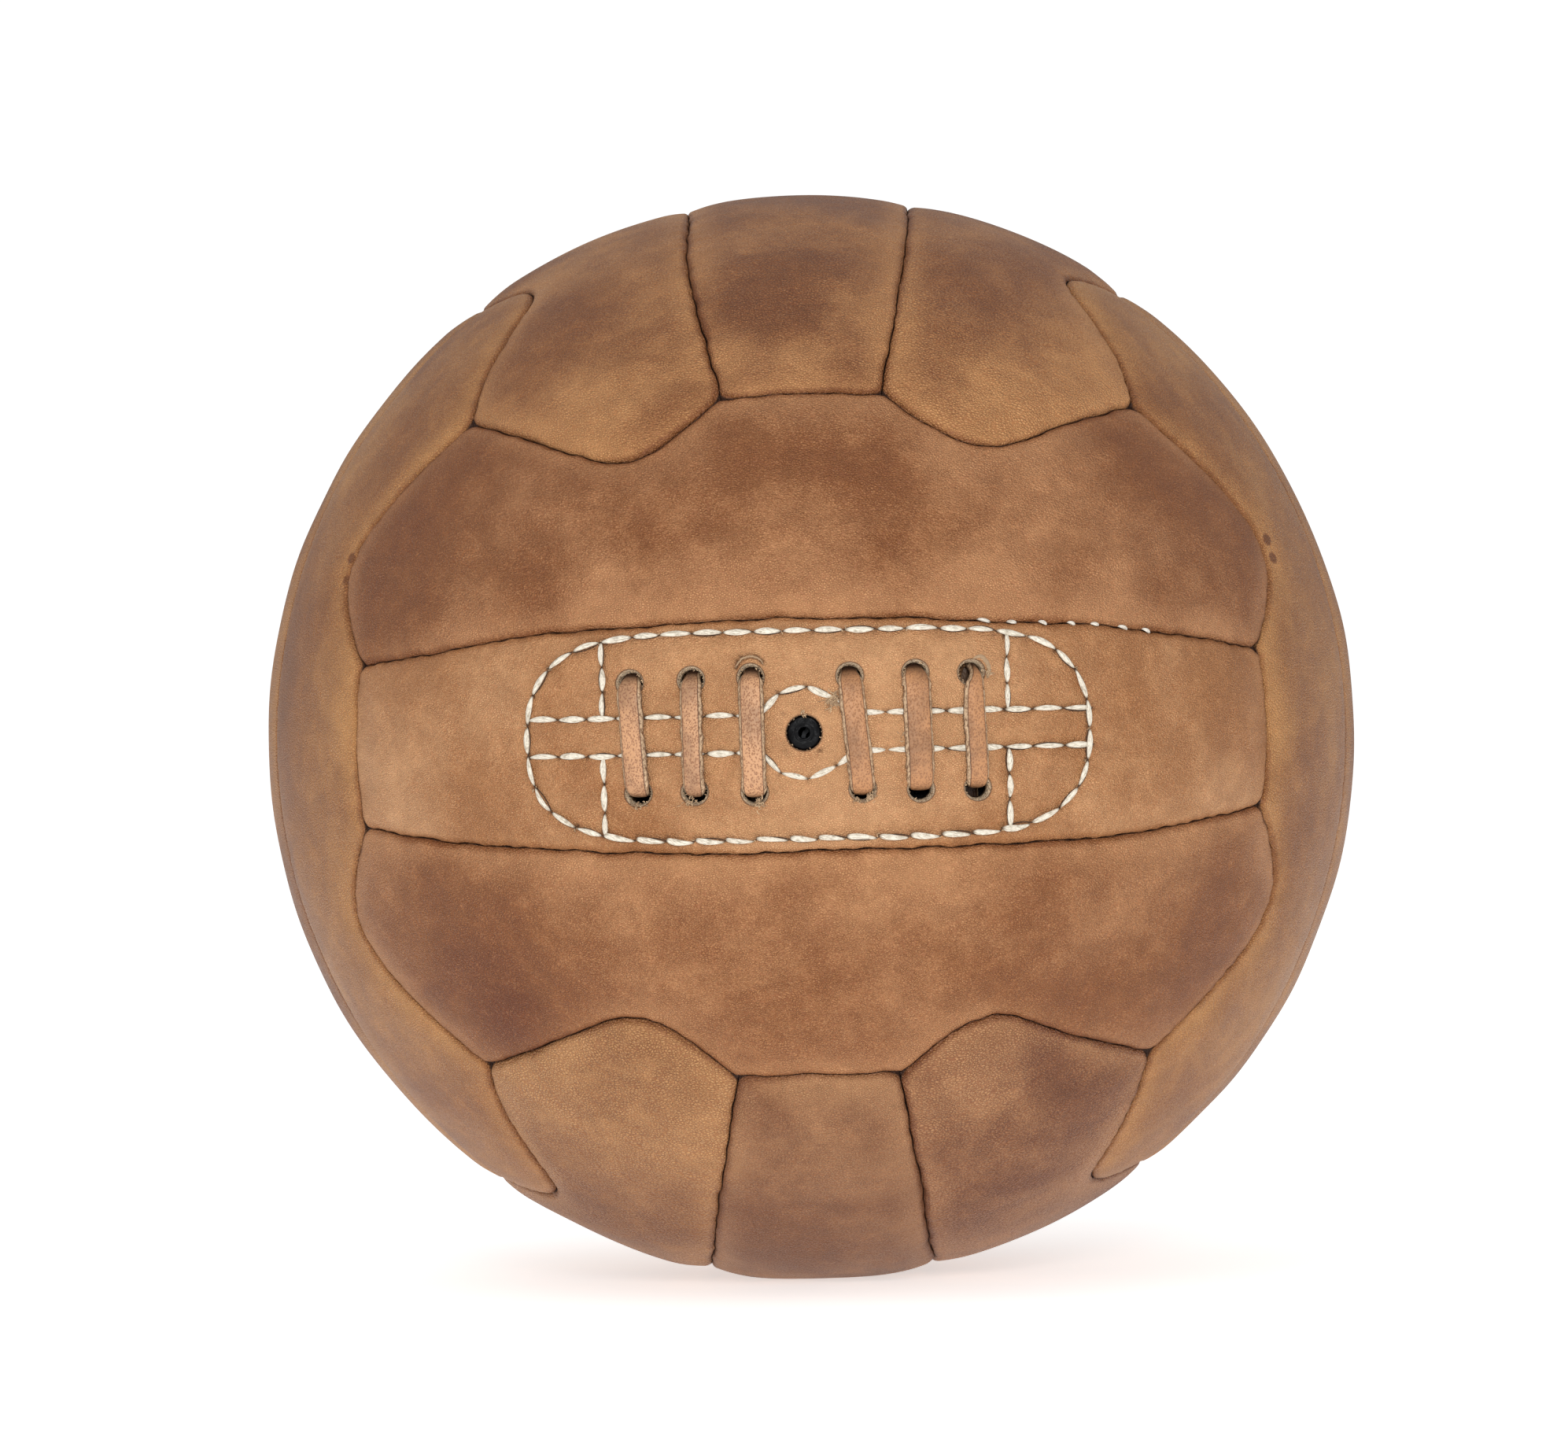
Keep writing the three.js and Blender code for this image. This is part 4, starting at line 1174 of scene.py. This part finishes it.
SIDE_TONES = ((128, 80, 44), (158, 105, 61), (198, 145, 90))
# The spots are partly patches of tone and partly painted light: light spots along the front panels'
# seams with the laced panel, on the side panels beside the front and on the forward parts of the
# top and bottom panels are painted highlights; dark spots towards panel ends and the ball's outline
# are painted shade; and the small spots of amount -2 are painted shade in needle notches.
HIDES = {
    "front_upper": Hide(((122, 67, 32), (148, 94, 52), (195, 141, 96)), 0.36, 0.4, 0.12, (
        (-70, 44, 34, -0.12), (74, 42, 34, -0.2), (56, 60, 26, -0.25), (-38, 25, 16, 0.2),
        (-66, 23, 15, 0.2), (-18, 24, 16, 0.2), (5, 24, 16, 0.25), (34, 25, 18, 0.25),
        (58, 23, 14, 0.2))),
    "front_middle": Hide(((153, 99, 53), (185, 129, 81), (219, 167, 119)), 0.32, 0.45, 0.0, (
        (80, 6, 34, -0.25), (0, -2, 48, 0.22), (34, 12, 22, 0.1), (66, -12, 20, 0.1))),
    "front_lower": Hide(((122, 67, 32), (153, 98, 55), (198, 144, 98)), 0.36, 0.4, 0.12, (
        (-70, -36, 30, -0.3), (-60, -56, 28, -0.3), (76, -44, 34, -0.1), (0, -46, 30, 0.08),
        (-44, -26, 12, 0.1), (30, -28, 24, 0.12))),
    "top_left": Hide(((120, 70, 36), (150, 97, 55), (198, 144, 92)), 0.4, 0.6, 0.16, (
        (-42, 62, 20, 0.2), (-24, 72, 14, 0.15), (-44, 84, 22, -0.1))),
    "top_middle": Hide(((108, 59, 29), (142, 90, 51), (194, 140, 90)), 0.4, 0.5, 0.16, (
        (0, 90, 22, -0.2), (0, 72, 10, 0.25), (-12, 74, 10, 0.15)), 0.25),
    "top_right": Hide(((118, 68, 35), (149, 96, 55), (198, 144, 92)), 0.44, 0.7, 0.16, (
        (38, 64, 18, 0.2), (56, 72, 16, 0.15), (38, 86, 22, -0.1))),
    "bottom_left": Hide(((124, 77, 43), (156, 106, 63), (196, 146, 96)), 0.48, 0.85, 0.16, (
        (-36, -64, 18, 0.1),)),
    "bottom_middle": Hide(((116, 71, 41), (140, 91, 55), (182, 134, 92)), 0.38, 0.4, 0.14),
    "bottom_right": Hide(((110, 63, 36), (137, 87, 52), (188, 138, 94)), 0.46, 0.9, 0.16, (
        (30, -68, 16, 0.2), (44, -84, 18, -0.1))),
    "left_forward": Hide(SIDE_TONES, 0.4, 0.5, 0.12, (
        (-88, 2, 13, 0.15), (-87, 22, 11, 0.15), (-86, -22, 11, 0.15), (-72, 56, 13, 0.12),
        (-72, -55, 12, 0.12), (-90.6, 33.2, 1.6, -2), (-89.6, 37.3, 1.6, -2),
        (-90.3, -31.9, 1.4, -2), (-88.2, -35.3, 1.4, -2))),
    "right_forward": Hide(SIDE_TONES, 0.4, 0.5, 0.12, (
        (89, 2, 13, 0.22), (87, 22, 11, 0.2), (87, -22, 11, 0.2), (73, 56, 13, 0.1),
        (73, -55, 12, 0.14), (90.4, 36.6, 1.6, -2), (91.5, 33.0, 1.6, -2))),
}
USUAL_HIDE = Hide(SIDE_TONES, 0.4, 0.5, 0.12)


def build_panels():
    for number, face in enumerate(FACES):
        for strip in (-1, 0, 1):
            name = strip_name(face, strip)
            hide, seed = HIDES.get(name, USUAL_HIDE), 100 + number * 3 + strip
            if name == "front_middle":
                piece, finish, slot = build_laced_panel(), "laced_leather", "laced_panel_leather"
            else:
                piece, finish = build_panel(face, strip), f"{name}_hide"
                slot = "dark_panel_leather" if face == "front" else "panel_leather"
            finish_piece(piece, leather(finish, hide, seed), slot, f"{name}_panel")


def plain_fibre(name, light, dark):
    """Thin fibres whose tint varies from one to the next."""
    p = new_paint(name)
    tint = p.total((p.attribute("shade"), 0.7), (p.noise(p.place(), 0.5), 0.5))
    return p.surface(p.blend(tint, dark, light), 0.85)


def build_lacing():
    thread = thread_material("cream_waxed_thread", srgb(234, 225, 208), srgb(172, 160, 140))
    lock = plain_fibre("dark_lock_thread", srgb(96, 66, 42), srgb(44, 28, 18))
    for number, (name, ends) in enumerate(STITCH_ENDS.items()):
        stitches = build_stitches(f"{name}_thread", ends, 200 + number)
        finish_piece(stitches, thread, "waxed_thread", name)
        finish_piece(build_lock_thread(f"{name}_lock", ends, 230 + number), lock, "waxed_thread")
    pored = lace_material("pored_thong", srgb(198, 148, 107), srgb(122, 72, 44), 0.72, 0.0)
    smooth = lace_material("smooth_thong", srgb(180, 127, 83), srgb(116, 70, 40), 0.6, 1.0)
    finish_piece(build_lace("lace_thong_left", BARS[:3], 31), pored, "lace_leather", "lace_left")
    finish_piece(build_lace("lace_thong_right", BARS[3:], 37), smooth, "lace_leather", "lace_right")
    fluff = plain_fibre("frayed_fibre", srgb(204, 174, 138), srgb(104, 74, 50))
    finish_piece(build_torn_bits(), fluff, "lace_leather")
    rubber = rubber_material("valve_black_rubber", srgb(4, 4, 6))
    finish_piece(build_valve(), rubber, "valve_rubber", "valve_body")


def build_seams():
    thread = thread_material("seam_waxed_thread", srgb(190, 172, 144), srgb(120, 98, 74))
    finish_piece(build_hidden_seams(), thread, "seam_thread", "seam_thread")
    white = thread_material("white_seam_thread", srgb(232, 226, 214), srgb(176, 164, 146))
    finish_piece(build_shown_seams(), white, "seam_thread")


def dress_inner_nodes():
    """Procedural finishes for the CAD pieces that stay inside the shell."""
    cotton = cloth_material("cotton_lining", srgb(214, 202, 172), srgb(168, 152, 120), 0.8)
    finishes = {
        "lace_reinforcement": cloth_material(
            "stiff_canvas", srgb(140, 104, 70), srgb(84, 58, 38), 1.2),
        "lace_tongue": cloth_material("rubbered_cloth", srgb(40, 38, 38), srgb(18, 17, 17), 0.9),
        "bladder": rubber_material("bladder_butyl", srgb(44, 40, 38), 3.0),
        "valve_core": rubber_material("valve_core_rubber", srgb(52, 53, 56)),
    }
    for name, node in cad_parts.items():
        finish = cotton if name.endswith("_lining") else finishes.get(name)
        if finish:
            node.data.materials.clear()
            node.data.materials.append(finish)


# --- Stage ------------------------------------------------------------------------------

SENSOR = 36.0
VIEW_DISTANCE = 12.0  # in ball radii
SILHOUETTE = 0.3458  # the ball's outline radius as a share of the image width
VIEW_SHIFT = (-0.0173, 0.0063)
ROLL = 1.37
WHITE = (1, 1, 1, 1)
FLOOR_HALF_WIDTH = 12.0
FLOOR_GLOW = 0.55
SKY_LIGHT, SKY_SEEN = 0.54, 1.05


def build_stage():
    p = new_paint("pale_floor")
    speckle = p.noise(p.place(), 40, 2.0)
    tint = p.blend(speckle, srgb(250, 250, 250), srgb(255, 255, 255))
    floor = p.surface(tint, 0.9, Emission_Color=WHITE, Emission_Strength=FLOOR_GLOW)
    mesh = bpy.data.meshes.new("floor")
    reach = FLOOR_HALF_WIDTH
    corners = [(-reach, -reach, 0), (reach, -reach, 0), (reach, reach, 0), (-reach, reach, 0)]
    mesh.from_pydata(corners, [], [(0, 1, 2, 3)])
    mesh.materials.append(floor)
    ground = add_object("floor", mesh)

    world = bpy.data.worlds.new("white_studio")
    bpy.context.scene.world = world
    p = Paint(world)
    seen = p.node("LightPath").outputs["Is Camera Ray"]
    strength = p.node("MapRange", {
        "Value": seen, "To Min": SKY_LIGHT, "To Max": SKY_SEEN}).outputs[0]
    sky = p.node("Background", {"Color": WHITE, "Strength": strength})
    p.node("OutputWorld", {"Surface": sky.outputs[0]})


def add_softbox(name, place, size, power):
    lamp = bpy.data.lights.new(name, "AREA")
    lamp.shape = "RECTANGLE"
    lamp.size, lamp.size_y = size
    lamp.energy = power
    light = add_object(name, lamp)
    light.location = place
    aim = Vector(CENTRE * MM) - Vector(place)
    light.rotation_euler = aim.to_track_quat("-Z", "Y").to_euler()


def build_camera():
    lens = bpy.data.cameras.new("camera")
    lens.sensor_width = SENSOR
    lens.lens = SENSOR * SILHOUETTE / math.tan(math.asin(1 / VIEW_DISTANCE))
    lens.shift_x, lens.shift_y = VIEW_SHIFT
    lens.clip_start = 0.05
    camera = add_object("camera", lens)
    camera.location = (CENTRE + (0, -VIEW_DISTANCE * RADIUS, 0)) * MM
    camera.rotation_euler = (math.radians(90), math.radians(ROLL), 0)
    bpy.context.scene.camera = camera


bpy.context.scene.view_settings.view_transform = "Standard"
build_camera()
build_stage()
add_softbox("key_softbox", (0.1, -1.7, 0.5), (0.5, 0.5), 12.5)
add_softbox("top_softbox", (-0.5, -0.6, 1.5), (1.2, 1.2), 3.5)
build_panels()
build_lacing()
build_seams()
dress_inner_nodes()
